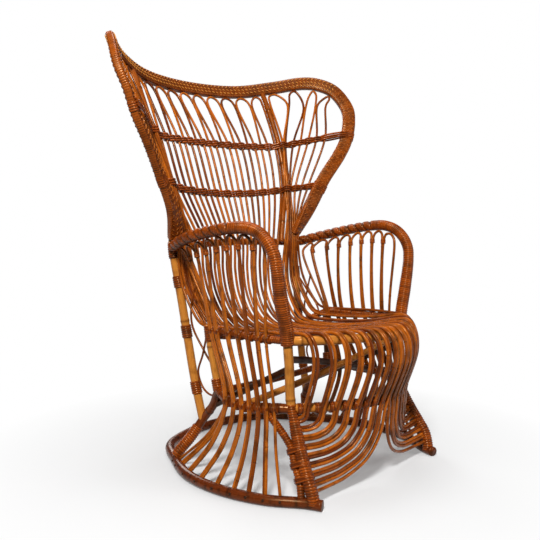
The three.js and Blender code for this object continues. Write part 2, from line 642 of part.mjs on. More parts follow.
// Rear seat rail: sags with the seat and lies under its canes
const REAR_RAIL_SHARES = [-0.8, -0.5, -0.2, 0.2, 0.5, 0.8]; // of its half width
const REAR_RAIL_LEVEL = SEAT_LEVEL_SHARES[4];
const REAR_RAIL_BACK_SHARE = 0.36; // of the distance from cane to rail
const REAR_RAIL_DOWN_SHARE = 1.06;
function rearSeatRail() {
  const reach = SEAT_RAIL_RADIUS + CLEARANCE + CANE_RADIUS;
  const under = at(0, REAR_RAIL_BACK_SHARE * reach, -REAR_RAIL_DOWN_SHARE * reach);
  const middle = REAR_RAIL_SHARES.map((share) => seatPoint(REAR_RAIL_LEVEL, share * SEAT_REAR_HALF_WIDTH).add(under));
  return rod([...mirrored([seatCorner], -1), ...middle, seatCorner], SEAT_RAIL_RADIUS, RAIL_SIDES);
}

// Rear rail of the waist
const REAR_WAIST_SHARES = [-1, -0.5, 0, 0.5, 1];
const REAR_WAIST_BOW = 20;
const rearWaistRail = rod(
  REAR_WAIST_SHARES.map((x) => at(
    x * rearPoleFoot.x,
    rearPoleFoot.y + REAR_WAIST_BOW * (1 - x ** 2),
    mix(WAIST_REAR_HEIGHT, rearPoleFoot.z, x ** 2),
  )),
  SEAT_RAIL_RADIUS,
  RAIL_SIDES,
);

// Braces under the seat: from each side pole to the far front post, crossing in the middle
const BRACE_START_STATION = 3.15; // on the side pole
const BRACE_END_SHARE = 0.27; // of the way from the seat down to the waist
const BRACE_STEPS = 4;
const crossBraceStart = curve(sidePolePoints).getPoint(BRACE_START_STATION / (sidePolePoints.length - 1));
const crossBraceEnd = mirrored([between(postSeat, postWaist, [0.4, 0, BRACE_END_SHARE])], -1)[0];
function crossBrace(side) {
  const points = [];
  const over = at(0, 1, 1).setLength(side * (BRACE_RADIUS + CLEARANCE / 2));
  for (let i = 0; i <= BRACE_STEPS; i++) {
    const share = i / BRACE_STEPS;
    const point = crossBraceStart.clone().lerp(crossBraceEnd, share);
    points.push(...mirrored([point], side).map((p) => p.addScaledVector(over, Math.sin(share * Math.PI))));
  }
  return rod(points, BRACE_RADIUS, RAIL_SIDES);
}
const SIDE_BRACE_TOP_SHARE = 0.41; // of the way from the seat down to the waist
const SIDE_BRACE_INSET = 5; // inside the axis of the side pole it starts on
const sideBraceStart = at(sidePolePoints[6].x - SIDE_BRACE_INSET, sidePolePoints[6].y, sidePolePoints[6].z);
const sideBraceEnd = between(postSeat, postWaist, [0.4, 0, SIDE_BRACE_TOP_SHARE]);
const sideBrace = (side) => rod(
  mirrored([sideBraceStart, halfway(sideBraceStart, sideBraceEnd), sideBraceEnd], side),
  BRACE_RADIUS,
  RAIL_SIDES,
);
const FOOT_BRACE_STATION_ON_POLE = 2.1;
const FOOT_BRACE_SHARES = [0.42, 0.6, 0.8]; // of the strut's length, where the brace lies behind it
const footBraceTop = curve(sidePolePoints).getPoint(FOOT_BRACE_STATION_ON_POLE / (sidePolePoints.length - 1));
const behindStrut = at(0.3, 1, 0.1).setLength(FOOT_RADIUS + 2 * CLEARANCE + FOOT_BRACE_RADIUS);
const footBrace = (side) => rod(
  mirrored([
    footBraceTop,
    ...FOOT_BRACE_SHARES.map((share) => strut.point(strut.length * share).add(behindStrut)),
    onHoop(FOOT_BRACE_STATION),
  ], side),
  FOOT_BRACE_RADIUS,
  RAIL_SIDES,
);

// Arm panels: hairpins under the arm, bound in pairs, gathered at seat and waist, spread to the hoop.
// The first and the last place hold one cane, the others a pair. Seat and waist are shares of depth.
// Those over the rail carry its order there, counted in canes from the rail.
const ARM_PLACES = [
  { armShare: 0.09, overRail: 1.9, waistShare: 0.536, station: 4.84 },
  { armShare: 0.167, overRail: 3.5, waistShare: 0.513, station: 4.55 },
  { armShare: 0.292, seatShare: 0.6, waistShare: 0.426, station: 4.05 },
  { armShare: 0.401, seatShare: 0.546, waistShare: 0.343, station: 3.57 },
  { armShare: 0.508, seatShare: 0.442, waistShare: 0.272, station: 3.08 },
  { armShare: 0.608, seatShare: 0.35, waistShare: 0.213, station: 2.65 },
  { armShare: 0.71, seatShare: 0.267, waistShare: 0.154, station: 2.33 },
  { armShare: 0.82, seatShare: 0.189, waistShare: 0.106, station: 1.98 },
  { armShare: 0.925, seatShare: 0.125, waistShare: 0.059, station: 1.62 },
];
const OVER_RAIL_TURNS = [Math.PI / 4, -Math.PI / 12]; // round the rail, from its front upwards
const ARM_LAST = ARM_PLACES.length - 1;
const ARM_TOUCH_TURN = Math.PI / 6; // from the arm's lowest line round to where the arches touch
const FLARE_SHARES = [[0.3, 0.5], [1, 1]];
const armLine = measured(armPoints.slice(0, ARM_SHARES.length - 2));
const armDrop = ARM_RADIUS + CLEARANCE + ARM_CANE_RADIUS;
const depthAt = (share) => mix(POST_DEPTH, JOINT_DEPTH, share);

// Place where a line of points passes a given value of x, y or z.
function crossing(points, axis, value) {
  const i = points.findIndex((p, k) => k > 0 && (p[axis] - value) * (points[k - 1][axis] - value) <= 0);
  const a = points[i - 1];
  const b = points[i];
  return a.clone().lerp(b, (value - a[axis]) / (b[axis] - a[axis]));
}
const sideRailLine = sampled(sideRail(1).points, everyStation(sideRail(1).points, 4));
const sidePoleLine = sampled(sidePolePoints, everyStation(sidePolePoints, 4));
const rearRailLine = sampled(rearSeatRail().points, everyStation(rearSeatRail().points, 4));

// Places inside the corner bend over the rear seat rail, the others pass outside the side rail.
function seatPlaces({ seatShare, overRail }) {
  if (overRail) {
    const x = seatCorner.x - REAR_POLE_RADIUS - CLEARANCE - ARM_CANE_RADIUS;
    const rail = crossing(rearRailLine, "x", x);
    const reach = SEAT_RAIL_RADIUS + CLEARANCE + ARM_CANE_RADIUS + (overRail - 1) * ARM_CANE_PITCH;
    return OVER_RAIL_TURNS.map((turn) =>
      at(x, rail.y - reach * Math.cos(turn), rail.z + reach * Math.sin(turn)));
  }
  const depth = depthAt(seatShare);
  const rail = crossing(sideRailLine, "y", depth);
  return [at(rail.x + SEAT_RAIL_RADIUS + CLEARANCE + ARM_CANE_RADIUS, depth, SEAT_HEIGHT)];
}

function waistPlace({ waistShare, overRail }) {
  const depth = depthAt(waistShare);
  const pole = crossing(sidePoleLine, "y", depth);
  const beside = crossing(sidePoleLine, "y", depth - SIDE_POLE_RADIUS);
  const slope = (pole.x - beside.x) / (pole.y - beside.y);
  const reach = (SIDE_POLE_RADIUS + CLEARANCE + ARM_CANE_RADIUS) * Math.hypot(1, slope);
  return at(pole.x + (overRail ? -reach : reach), depth, pole.z);
}

function placeCentre(number) {
  const place = ARM_PLACES[number];
  const arm = armLine.point(armLine.length * place.armShare);
  const inset = mix(ARM_REAR_INSET, ARM_FRONT_INSET, place.armShare);
  const top = at(arm.x - inset, arm.y, arm.z - armDrop - ARM_ARCH_RISE);
  const waist = waistPlace(place);
  const landing = onHoop(place.station);
  return [top, ...seatPlaces(place), waist, ...FLARE_SHARES.map(([out, down]) => between(waist, landing, [out, out, down]))];
}

// The two canes of a pair lie side by side along the panel.
function placeLeg(number, shift) {
  const centre = placeCentre(number);
  return centre.map((point, i) => {
    const before = centre[Math.max(i - 1, 0)];
    const after = centre[Math.min(i + 1, centre.length - 1)];
    const across = at(1, 0, 0).cross(after.clone().sub(before)).normalize();
    return point.clone().addScaledVector(across, shift);
  });
}

function armLoop(loop) {
  const rear = placeLeg(loop - 1, loop === 1 ? 0 : -ARM_CANE_PITCH / 2);
  const front = placeLeg(loop, loop === ARM_LAST ? 0 : ARM_CANE_PITCH / 2);
  const arm = crossing(armPoints, "y", halfway(rear[0], front[0]).y);
  const apex = at(
    arm.x - armDrop * Math.sin(ARM_TOUCH_TURN),
    arm.y,
    arm.z - armDrop * Math.cos(ARM_TOUCH_TURN),
  );
  return [...rear.reverse(), ...archPoints(rear[rear.length - 1], front[0], apex), ...front];
}

function armPanel(side) {
  const solids = [];
  for (let loop = 1; loop <= ARM_LAST; loop++) {
    solids.push(solidRod(rod(mirrored(armLoop(loop), side), ARM_CANE_RADIUS, CANE_SIDES)));
  }
  for (let pair = 1; pair < ARM_LAST; pair++) {
    const [top, below] = placeCentre(pair);
    const down = below.clone().sub(top).setLength(PAIR_BINDING_LENGTH);
    const ends = [top, top.clone().add(down)];
    solids.push(solidRod(rod(mirrored(ends, side), PAIR_BINDING_RADIUS, BINDING_SIDES)));
  }
  return joined(solids);
}

// Woven bands: two flat strands, each passing in front of one cane and behind the next.
// The pole, the canes bunched behind it and the next cane are passed together.
const canePath = (cane) => {
  const loop = Math.ceil(cane / 2);
  const top = loopTop(loop);
  return [cane < 2 * loop - 1 ? top[0] : top[top.length - 1], ...leg(cane).slice(0, 3)];
};
function strandStops(cross, side) {
  const stops = [];
  const stop = (path, length, radius, turn, slack = STRAND_SLACK) => stops.push({
    point: path[cross.index],
    down: path[cross.index + 1].clone().sub(path[cross.index - 1]).normalize(),
    length,
    reach: side * turn * (radius + STRAND_THICKNESS / 2 + slack),
  });
  for (let i = 0; i < CENTRAL_LEGS; i++) {
    stop(canePath(i + 0.5), (i + 0.5) * cross.centralPitch, CANE_RADIUS, (-1) ** i);
  }
  const group = (-1) ** (CENTRAL_LEGS - 1);
  const front = side * group > 0;
  if (front || cross.bundle[0][0] > 0) stop(poleStops, cross.pole, INNER_POLE_RADIUS, group);
  let turn = group;
  cross.bundle.forEach(([out, behind], i) => {
    if (behind > 0 && front) return;
    const slack = turn === group ? BUNDLE_SLACK : STRAND_SLACK;
    stop(canePath(CENTRAL_LEGS + i + 0.5), cross.pole + out * BUNDLE_RADIUS, CANE_RADIUS, turn, slack);
    if (behind === 0) turn = -turn;
  });
  return stops;
}

// A flat strand: sections at every stop, standing upright in the surface of the back.
function strandGeometry(cross, row) {
  const half = (side) => {
    const stops = strandStops(cross, side * row).map(({ point, down, length, reach }) => {
      const front = facing(cross, length, down);
      return { point: point.clone().addScaledVector(front, reach), down, front };
    });
    const { down, front } = stops[stops.length - 1];
    const beyond = cross.line.tangent(cross.line.length).setLength(RIM_WIDTH / 2);
    return [...stops, { point: cross.line.point(cross.line.length).add(beyond), down, front }];
  };
  const flipped = ({ x, y, z }) => at(-x, y, z);
  const left = half(-1).reverse().map(({ point, down, front }) => ({
    point: flipped(point), down: flipped(down), front: flipped(front),
  }));
  const corners = [[1, -1], [1, 1], [-1, 1], [-1, -1]];
  const rise = (row * (STRAND_HEIGHT + STRAND_GAP)) / 2;
  const rings = [...left, ...half(1)].map(({ point, down, front }) => corners.map(([d, f]) => point.clone()
    .addScaledVector(down, rise + (d * STRAND_HEIGHT) / 2)
    .addScaledVector(front, (f * STRAND_THICKNESS) / 2)));
  return loftGeometry(rings);
}
const ROWS = [-1, 1];

// Thin cane between rear leg and arm canes: one hairpin whose halves cross twice
const THIN_CANE_SHARES = [
  { down: 0.2, out: 0.8, lift: 0 }, { down: 0.32, out: 0, lift: 1 },
  { down: 0.49, out: -0.5, lift: 0 }, { down: 0.68, out: 0, lift: -1 }, { down: 0.84, out: 0.66, lift: 0 },
  { down: 0.95, out: 0.5, lift: 0 },
];
const THIN_CANE_END_SHARE = 0.985;
function thinCane(side) {
  const inner = placeCentre(0).slice(0, 2 + OVER_RAIL_TURNS.length);
  const top = inner[0];
  const waist = inner[inner.length - 1];
  const outer = rearLeg(1).points;
  const place = (down, out, lift) => {
    const height = mix(top.z, waist.z - 2 * SIDE_POLE_RADIUS, down);
    const a = crossing(outer, "z", height);
    const b = crossing(inner, "z", Math.max(height, waist.z));
    const gap = b.clone().setZ(height).sub(a);
    const off = at(1, 0, 0).multiplyScalar(lift * (THIN_CANE_RADIUS + CLEARANCE));
    return a.addScaledVector(gap, (1 + out) / 2).add(off);
  };
  const half = (sign) => THIN_CANE_SHARES.map(({ down, out, lift }) => place(down, sign * out, sign * lift));
  const points = [...half(1), place(THIN_CANE_END_SHARE, 0, 0), ...half(-1).reverse()];
  return rod(mirrored(points, side), THIN_CANE_RADIUS, CANE_SIDES);
}

// Building
const rimSpace = rimSolid(CLEARANCE);
const hoopSpace = solidRod(hoop, CLEARANCE);
const backRailSpace = solidRod(backRail(), CLEARANCE);
const seatRailFront = bowedRail(POST_HALF_WIDTH, SEAT_BOW, SEAT_HEIGHT);
const waistRailFront = bowedRail(WAIST_HALF_WIDTH, WAIST_BOW, WAIST_HEIGHT);
const waistRailSpace = solidRod(waistRailFront, CLEARANCE);
const spaces = Object.fromEntries(SIDES.map(([name, side]) => [name, {
  arm: solidOf(taperedGeometry(mirrored(armPoints, side), armRadii, CLEARANCE)),
  leg: solidRod(rearLeg(side), CLEARANCE),
  sidePole: solidRod(sidePole(side), CLEARANCE),
  rearPole: solidRod(rearPole(side), CLEARANCE),
  sideRail: solidRod(sideRail(side), CLEARANCE),
}]));
const both = (key) => SIDES.map(([name]) => spaces[name][key]);
const rearRailSpace = solidRod(rearSeatRail(), CLEARANCE);
const loops = Array.from({ length: RIM_LOOPS }, (_, i) => i + 1);
const caneSpaces = SIDES.flatMap(([, side]) => loops.map((loop) => solidRod(loopMember(loop, side), CLEARANCE)));

add("back_rim", rimSolid(), "wrap");
add("floor_hoop", solidRod(hoop), "foot");
add("back_rail", fitted(solidRod(backRail()), both("leg")), "wrap");
add("front_seat_rail", fitted(solidRod(seatRailFront), both("arm")), "wrap");
add("front_waist_rail", fitted(solidRod(waistRailFront), both("arm")), "wrap");
add("rear_seat_rail", fitted(solidRod(rearSeatRail()), [...both("rearPole"), ...both("sideRail")]), "wrap");
add("rear_waist_rail", fitted(solidRod(rearWaistRail), [...both("sidePole"), ...both("rearPole")]), "wrap");
for (const row of ROWS) {
  const number = row < 0 ? 1 : 2;
  const upperStrand = solidOf(strandGeometry(upper, row));
  add(`upper_strand_${number}`, fitted(upperStrand, [rimSpace, ...caneSpaces]), "wrap");
  const lowerStrand = solidOf(strandGeometry(lower, row));
  add(`lower_strand_${number}`, fitted(lowerStrand, [rimSpace, ...caneSpaces]), "wrap");
}
for (const [name, side] of SIDES) {
  const { arm, leg: rear, sidePole: pole, rearPole: corner } = spaces[name];
  const armSolid = solidOf(taperedGeometry(mirrored(armPoints, side), armRadii));
  const hairpin = solidRod(thinCane(side), CLEARANCE);
  add(`arm_pole_${name}`, fitted(armSolid, [rear, rimSpace, hoopSpace, backRailSpace]), "pole");
  add(`rear_leg_${name}`, fitted(solidRod(rearLeg(side)), [rimSpace, pole]), "pole");
  add(`waist_pole_${name}`, fitted(solidRod(sidePole(side)), [arm, hoopSpace, waistRailSpace]), "wrap");
  add(`rear_pole_${name}`, fitted(solidRod(rearPole(side)), [pole]), "pole");
  add(`inner_pole_${name}`, fitted(solidRod(innerPole(side)), [rimSpace, backRailSpace]), "pole");
  add(`side_seat_rail_${name}`, fitted(solidRod(sideRail(side)), [arm, corner]), "wrap");
  add(`cross_brace_${name}`, fitted(solidRod(crossBrace(side)), [...both("arm"), pole]), "pole");
  add(`side_brace_${name}`, fitted(solidRod(sideBrace(side)), [arm, pole]), "pole");
  add(`foot_brace_${name}`, fitted(solidRod(footBrace(side)), [pole, hoopSpace, arm]), "pole");
  add(`thin_cane_${name}`, fitted(solidRod(thinCane(side)), [rear, corner, pole]), "cane");
  const around = [hoopSpace, rearRailSpace, pole, arm, rear, corner, hairpin];
  add(`arm_panel_${name}`, fitted(armPanel(side), around), "cane");
  for (const loop of loops) {
    const cane = solidRod(loopMember(loop, side));
    add(`back_loop_${name}_${loop}`, fitted(cane, [rimSpace, arm]), "cane");
  }
}

const box = new THREE.Box3().setFromObject(chair);
chair.position.y = -(box.min.y + box.max.y) / 2;

export default chair;
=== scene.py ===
# Peacock chair of bent cane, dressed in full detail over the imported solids.
# The places of the pieces follow the same sizes and shares as the solids, in millimetres from the
# floor between the front feet, and are turned into metres only when a mesh is made.
import math
import random

import bpy
import numpy as np
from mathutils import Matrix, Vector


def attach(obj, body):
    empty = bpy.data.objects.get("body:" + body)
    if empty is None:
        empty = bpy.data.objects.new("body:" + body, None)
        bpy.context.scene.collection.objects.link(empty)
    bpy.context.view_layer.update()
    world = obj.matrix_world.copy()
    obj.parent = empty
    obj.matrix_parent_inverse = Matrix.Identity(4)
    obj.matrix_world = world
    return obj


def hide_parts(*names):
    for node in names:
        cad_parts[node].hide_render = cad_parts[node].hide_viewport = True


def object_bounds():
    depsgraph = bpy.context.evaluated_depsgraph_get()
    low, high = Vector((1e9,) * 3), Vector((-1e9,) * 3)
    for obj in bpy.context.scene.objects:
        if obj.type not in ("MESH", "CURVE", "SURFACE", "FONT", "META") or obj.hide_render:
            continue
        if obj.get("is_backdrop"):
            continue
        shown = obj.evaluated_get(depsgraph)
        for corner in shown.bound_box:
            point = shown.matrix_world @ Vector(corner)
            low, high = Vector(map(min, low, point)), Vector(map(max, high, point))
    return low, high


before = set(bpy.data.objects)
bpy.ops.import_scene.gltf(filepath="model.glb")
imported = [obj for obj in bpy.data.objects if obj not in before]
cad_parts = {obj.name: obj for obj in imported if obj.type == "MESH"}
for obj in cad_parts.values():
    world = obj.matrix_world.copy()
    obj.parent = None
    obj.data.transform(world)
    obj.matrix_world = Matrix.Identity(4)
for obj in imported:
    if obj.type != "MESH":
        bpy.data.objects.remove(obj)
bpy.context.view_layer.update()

# Driving dimensions, as in the solids
HEIGHT = 1190
WING_HALF_WIDTH = 497
WING_DEPTH = 434
CROWN_DEPTH = 775
JOINT_HEIGHT = 620
JOINT_HALF_WIDTH = 264
JOINT_DEPTH = 528
ARM_HEIGHT = 671
ARM_HALF_WIDTH = 318
SEAT_HEIGHT = 395
SEAT_DIP = 33
SEAT_REAR_DEPTH = 384
SEAT_REAR_HALF_WIDTH = 262
POST_DEPTH = 105
POST_HALF_WIDTH = 256
WAIST_HEIGHT = 225
WAIST_HALF_WIDTH = 246
WAIST_SIDE_HALF_WIDTH = 287
WAIST_REAR_HEIGHT = 212
SEAT_BOW = 125
WAIST_BOW = 110
STAND_HALF_WIDTH = 230
STAND_DEPTH = 445
STAND_HEIGHT = 128
HOOP_HALF_WIDTH = 357
HOOP_DEPTH = 673

# Stock sizes, as in the solids
CANE_RADIUS = 3.6
ARM_CANE_RADIUS = 3.1
STRAND_THICKNESS = 4
STRAND_SLACK = 2
BUNDLE_SLACK = 4
THIN_CANE_RADIUS = 3
INNER_POLE_RADIUS = 10.5
REAR_LEG_RADIUS = 12
SIDE_POLE_RADIUS = 12
REAR_POLE_RADIUS = 11
FRONT_RAIL_RADIUS = 12
SEAT_RAIL_RADIUS = 10
BACK_RAIL_RADIUS = 11
BRACE_RADIUS = 9
FOOT_BRACE_RADIUS = 10
HOOP_RADIUS = 15
ARM_RADIUS = 16
POST_WRAP_RADIUS = 18
POST_RADIUS = 12
FOOT_RADIUS = 15
RIM_WIDTH = 45
RIM_THICKNESS = 22
PAIR_BINDING_RADIUS = 8
PAIR_BINDING_LENGTH = 14
BUNDLE_GAP = 2.4
CLEARANCE = 0.3

# Spacing of the canes, as in the solids
LOOP_SPAN = 58
ARCH_RISE = 32
ARM_ARCH_RISE = 22
WING_CANE_PITCH = 7.7
FRONT_PAIR_PITCH = 26.2
FRONT_PAIR_SPREAD = 19
ROLL_BULGE = 40
SKIRT_BOW = 23
ARM_REAR_INSET = 32
ARM_FRONT_INSET = 12
CENTRAL_LOOPS = 5
WING_LOOPS = 4
SPREAD_PAIR = 8
LINE_SAMPLES = 401
RIM_SAMPLES = 481

CANE_PITCH = 2 * CANE_RADIUS + CLEARANCE
ARM_CANE_PITCH = 2 * ARM_CANE_RADIUS + CLEARANCE
CENTRAL_LEGS = 2 * CENTRAL_LOOPS
RIM_LOOPS = CENTRAL_LOOPS + WING_LOOPS
POLE_SHIFT = INNER_POLE_RADIUS + 2 * CLEARANCE + CANE_RADIUS
BUNDLE_RADIUS = INNER_POLE_RADIUS + CANE_RADIUS + BUNDLE_GAP
SIDES = {"left": -1, "right": 1}


# Small helpers
def vec(x, y, z):
    return np.array((x, y, z), float)


def mix(a, b, t):
    return a + (b - a) * t


def unit(v):
    return v / np.linalg.norm(v)


def mirrored(points, side):
    return [p * (side, 1, 1) for p in points]


def both_halves(half):
    return half + mirrored(half, -1)[::-1][1:]


def between(a, b, shares):
    return a + (b - a) * np.array(shares, float)


def places_between(a, b, rows):
    return [between(a, b, row) for row in rows]


class Curve:
    """A smooth curve through its points. Stations count the points from 0."""

    def __init__(self, points):
        points = np.array(points, float)
        ends = 2 * points[[0, -1]] - points[[1, -2]]
        chain = np.vstack([ends[:1], points, ends[1:]])
        steps = np.sqrt(np.linalg.norm(np.diff(chain, axis=0), axis=1))[:, None]
        d0, d1, d2 = steps[:-2], steps[1:-1], steps[2:]
        p0, p1, p2, p3 = chain[:-3], chain[1:-2], chain[2:-1], chain[3:]
        t1 = ((p1 - p0) / d0 - (p2 - p0) / (d0 + d1) + (p2 - p1) / d1) * d1
        t2 = ((p2 - p1) / d1 - (p3 - p1) / (d1 + d2) + (p3 - p2) / d2) * d1
        self.parts = (p1, t1, 3 * (p2 - p1) - 2 * t1 - t2, 2 * (p1 - p2) + t1 + t2)
        self.last = len(points) - 1

    def _terms(self, station):
        station = np.clip(np.array(station, float), 0, self.last)
        part = np.minimum(station.astype(int), self.last - 1)
        return (station - part)[..., None], [terms[part] for terms in self.parts]

    def at(self, station):
        w, (a, b, c, d) = self._terms(station)
        return a + w * (b + w * (c + w * d))

    def tangent(self, station):
        w, (_, b, c, d) = self._terms(station)
        found = b + w * (2 * c + 3 * w * d)
        return found / np.linalg.norm(found, axis=-1)[..., None]


class Line:
    """A curve measured along its length."""

    def __init__(self, points):
        self.curve = Curve(points)
        self.stations = np.linspace(0, self.curve.last, LINE_SAMPLES)
        steps = np.diff(self.curve.at(self.stations), axis=0)
        self.lengths = np.concatenate([[0], np.cumsum(np.linalg.norm(steps, axis=1))])
        self.length = self.lengths[-1]

    def station(self, distance):
        return np.interp(distance, self.lengths, self.stations)

    def point(self, distance):
        return self.curve.at(self.station(distance))

    def tangent(self, distance):
        return self.curve.tangent(self.station(distance))

    def sizes(self, radii, distances):
        """Radius at each distance. radii is one size, or one for each point of the line."""
        count = self.curve.last + 1
        return np.interp(self.station(distances), np.arange(count), np.broadcast_to(radii, count))


def crossing(points, axis, value):
    """Place where a line of points passes a given value of x, y or z, as axis 0, 1 or 2."""
    for a, b in zip(points, points[1:]):
        if (a[axis] - value) * (b[axis] - value) <= 0:
            return mix(a, b, (value - a[axis]) / (b[axis] - a[axis]))
    return points[-1]


# Named places of the right half
joint = vec(JOINT_HALF_WIDTH, JOINT_DEPTH, JOINT_HEIGHT)
arm_corner = vec(ARM_HALF_WIDTH, POST_DEPTH, ARM_HEIGHT)
post_seat = vec(POST_HALF_WIDTH, POST_DEPTH, SEAT_HEIGHT)
post_waist = vec(WAIST_HALF_WIDTH, POST_DEPTH, WAIST_HEIGHT)
seat_corner = vec(SEAT_REAR_HALF_WIDTH, SEAT_REAR_DEPTH, SEAT_HEIGHT)
stand = vec(STAND_HALF_WIDTH, STAND_DEPTH, STAND_HEIGHT)

# Floor hoop
HOOP_SHARES = [
    (0.734, -0.012), (0.773, 0.045), (0.919, 0.178), (1, 0.371), (0.961, 0.565),
    (0.798, 0.743), (0.602, 0.9), (0.308, 0.973), (0, 1),
]
HOOP_LEVEL = HOOP_RADIUS * math.cos(math.pi / 8)  # the solids' hoop has eight sides and lies on one
hoop_half = [vec(x * HOOP_HALF_WIDTH, y * HOOP_DEPTH, HOOP_LEVEL) for x, y in HOOP_SHARES]
hoop_whole = both_halves(hoop_half)
on_hoop = Curve(hoop_half).at
FRONT_FOOT_STATION = 0.55
FOOT_BRACE_STATION = 1.12
REAR_FOOT_STATION = 5
front_foot = on_hoop(FRONT_FOOT_STATION)
rear_foot = on_hoop(REAR_FOOT_STATION)

# Arm, front post and foot strut
ARM_SHARES = [
    (0.15, 0.03, -0.08), (0.815, 0.253, 0.41), (1, 0.51, 0.82), (0.963, 0.68, 1), (0.796, 0.79, 1),
    (0.76, 0.88, 0.765), (0.74, 0.946, 0.31), (0.685, 0.988, -0.29), (0.61, 1, -0.98),
]
POST_SHARES = [(0.4, 0, 0.418), (0.08, 0, 0.089)]
UNDER_SEAT_SHARES = [(0.08, 0, 0.2), (0.4, 0, 0.35), (1, 0, 0.9)]
STRUT_SHARES = [
    (0.06, 0.12, 0.12), (0.12, 0.22, 0.25), (0.5, 0.44, 0.445), (0.85, 0.65, 0.607),
    (1.1, 0.86, 0.77), (1.05, 0.96, 0.9), (1, 1, 1),
]
arm_points = [
    *places_between(joint, arm_corner, ARM_SHARES),
    *places_between(post_seat, vec(ARM_HALF_WIDTH, POST_DEPTH, JOINT_HEIGHT), POST_SHARES),
    *places_between(post_seat, post_waist, UNDER_SEAT_SHARES),
    *places_between(post_waist, front_foot, STRUT_SHARES),
]
arm_radii = (
    [ARM_RADIUS] * len(ARM_SHARES) + [POST_WRAP_RADIUS] * len(POST_SHARES)
    + [POST_WRAP_RADIUS, POST_RADIUS, POST_RADIUS, POST_RADIUS]
    + [FOOT_RADIUS] * (len(STRUT_SHARES) - 1)
)

# Rear leg
REAR_LEG_SHARES = [
    (0, 0, -0.06), (0.06, 0, 0.04), (0.3, 0.22, 0.27), (0.59, 0.47, 0.55), (0.765, 0.7, 0.77), (1, 1, 1),
]
rear_leg_points = places_between(joint, stand, REAR_LEG_SHARES)

# Side pole of the waist
WAIST_SIDE_SHARES = [
    (0, 0, 0), (0.24, 0.04, 0), (0.707, 0.162, 0.03), (1, 0.338, 0.07), (0.756, 0.574, 0.05),
    (-0.073, 0.765, 0), (-0.45, 0.882, 0.515),
]
REAR_STRUT_SHARES = [(0.51, 0.45, 0.465), (0.95, 0.82, 0.8), (1, 1, 1)]
side_pole_points = [
    *places_between(post_waist, vec(WAIST_SIDE_HALF_WIDTH, STAND_DEPTH, STAND_HEIGHT), WAIST_SIDE_SHARES),
    stand,
    *places_between(stand, rear_foot, REAR_STRUT_SHARES),
]

# Short rear post
REAR_POLE_HEAD = 12
REAR_POLE_SHARES = [(0, 0, 0), (0.35, 0.15, 0.35), (1, 1, 1)]
rear_pole_foot = side_pole_points[5]
rear_pole_points = places_between(seat_corner + vec(0, 0, REAR_POLE_HEAD), rear_pole_foot, REAR_POLE_SHARES)

# The rim
WING_SHARES = [
    ((0.069, 0, 0.028), (-0.97, -0.2, 0.05)),
    ((0.226, 0.479, 0.174), (-0.9, 0.4, 0)),
    ((0.464, 0.713, 0.346), (-0.79, 0.62, 0)),
    ((0.69, 0.936, 0.482), (-0.76, 0.65, 0)),
    ((0.837, 1, 0.58), (-0.74, 0.66, -0.05)),
    ((0.944, 0.957, 0.705), (-0.73, 0.65, -0.15)),
    ((1, 0.755, 0.806), (-0.72, 0.52, -0.42)),
]
CROWN_SHARES = [
    ((0.958, 0.22, 0.932), (-0.63, 0.26, -0.73)),
    ((0.89, 0.382, 0.985), (-0.46, 0.12, -0.87)),
    ((0.817, 0.522, 0.995), (-0.38, -0.08, -0.92)),
    ((0.647, 0.732, 0.961), (-0.29, -0.34, -0.89)),
    ((0.39, 0.901, 0.919), (-0.07, -0.47, -0.88)),
    ((0, 1, 0.907), (0, -0.525, -0.85)),
]
wing_tip = vec(WING_HALF_WIDTH, WING_DEPTH, HEIGHT)
crown_foot = vec(0, WING_DEPTH, JOINT_HEIGHT)
crown_tip = vec(WING_HALF_WIDTH, CROWN_DEPTH, HEIGHT)
rim_edges = (
    places_between(joint, wing_tip, [edge for edge, _ in WING_SHARES])
    + places_between(crown_foot, crown_tip, [edge for edge, _ in CROWN_SHARES])
)
rim_inwards = [unit(vec(*inward)) for _, inward in WING_SHARES + CROWN_SHARES]
whole_rim = both_halves(rim_edges)
rim_curve = Curve(whole_rim)
rim_inward_curve = Curve(both_halves(rim_inwards))
CROWN_STATION = len(rim_edges) - 1


def rim_frame(station):
    """Outer edge, tangent, inward direction and face normal of the rim at a station."""
    edge = rim_curve.at(station)
    tangent = rim_curve.tangent(station)
    inward = rim_inward_curve.at(station)
    inward = unit(inward - inward.dot(tangent) * tangent)
    return edge, tangent, inward, unit(np.cross(tangent, inward))


def rim_inner(station, depth=0.0):
    edge, _, inward, _ = rim_frame(station)
    return edge + inward * (RIM_WIDTH + depth)


rim_stations = np.linspace(CROWN_STATION, 0, RIM_SAMPLES)
rim_steps = np.diff([rim_inner(station) for station in rim_stations], axis=0)
rim_lengths = np.concatenate([[0], np.cumsum(np.linalg.norm(rim_steps, axis=1))])


def rim_station(length):
    return float(np.interp(length, rim_lengths, rim_stations))


WING_ARCHES = [(1.38, 1.5), (1.2, 2.1), (1.18, 1.5), (0.9, 1)]  # shares of LOOP_SPAN and ARCH_RISE


def boundary_length(boundary):
    wings = WING_ARCHES[: max(boundary - CENTRAL_LOOPS, 0)]
    return LOOP_SPAN * (min(boundary, CENTRAL_LOOPS) + sum(span for span, _ in wings))


def shoulder(boundary, shift):
    """Point of the back that lies at a boundary between loops, moved along the rim."""
    station = rim_station(boundary_length(boundary))
    wing = boundary - CENTRAL_LOOPS - 1
    rise = WING_ARCHES[wing][1] if wing >= 0 else 1
    along = -rim_frame(station)[1]
    return rim_inner(station, ARCH_RISE * rise + CANE_RADIUS + CLEARANCE) + along * shift


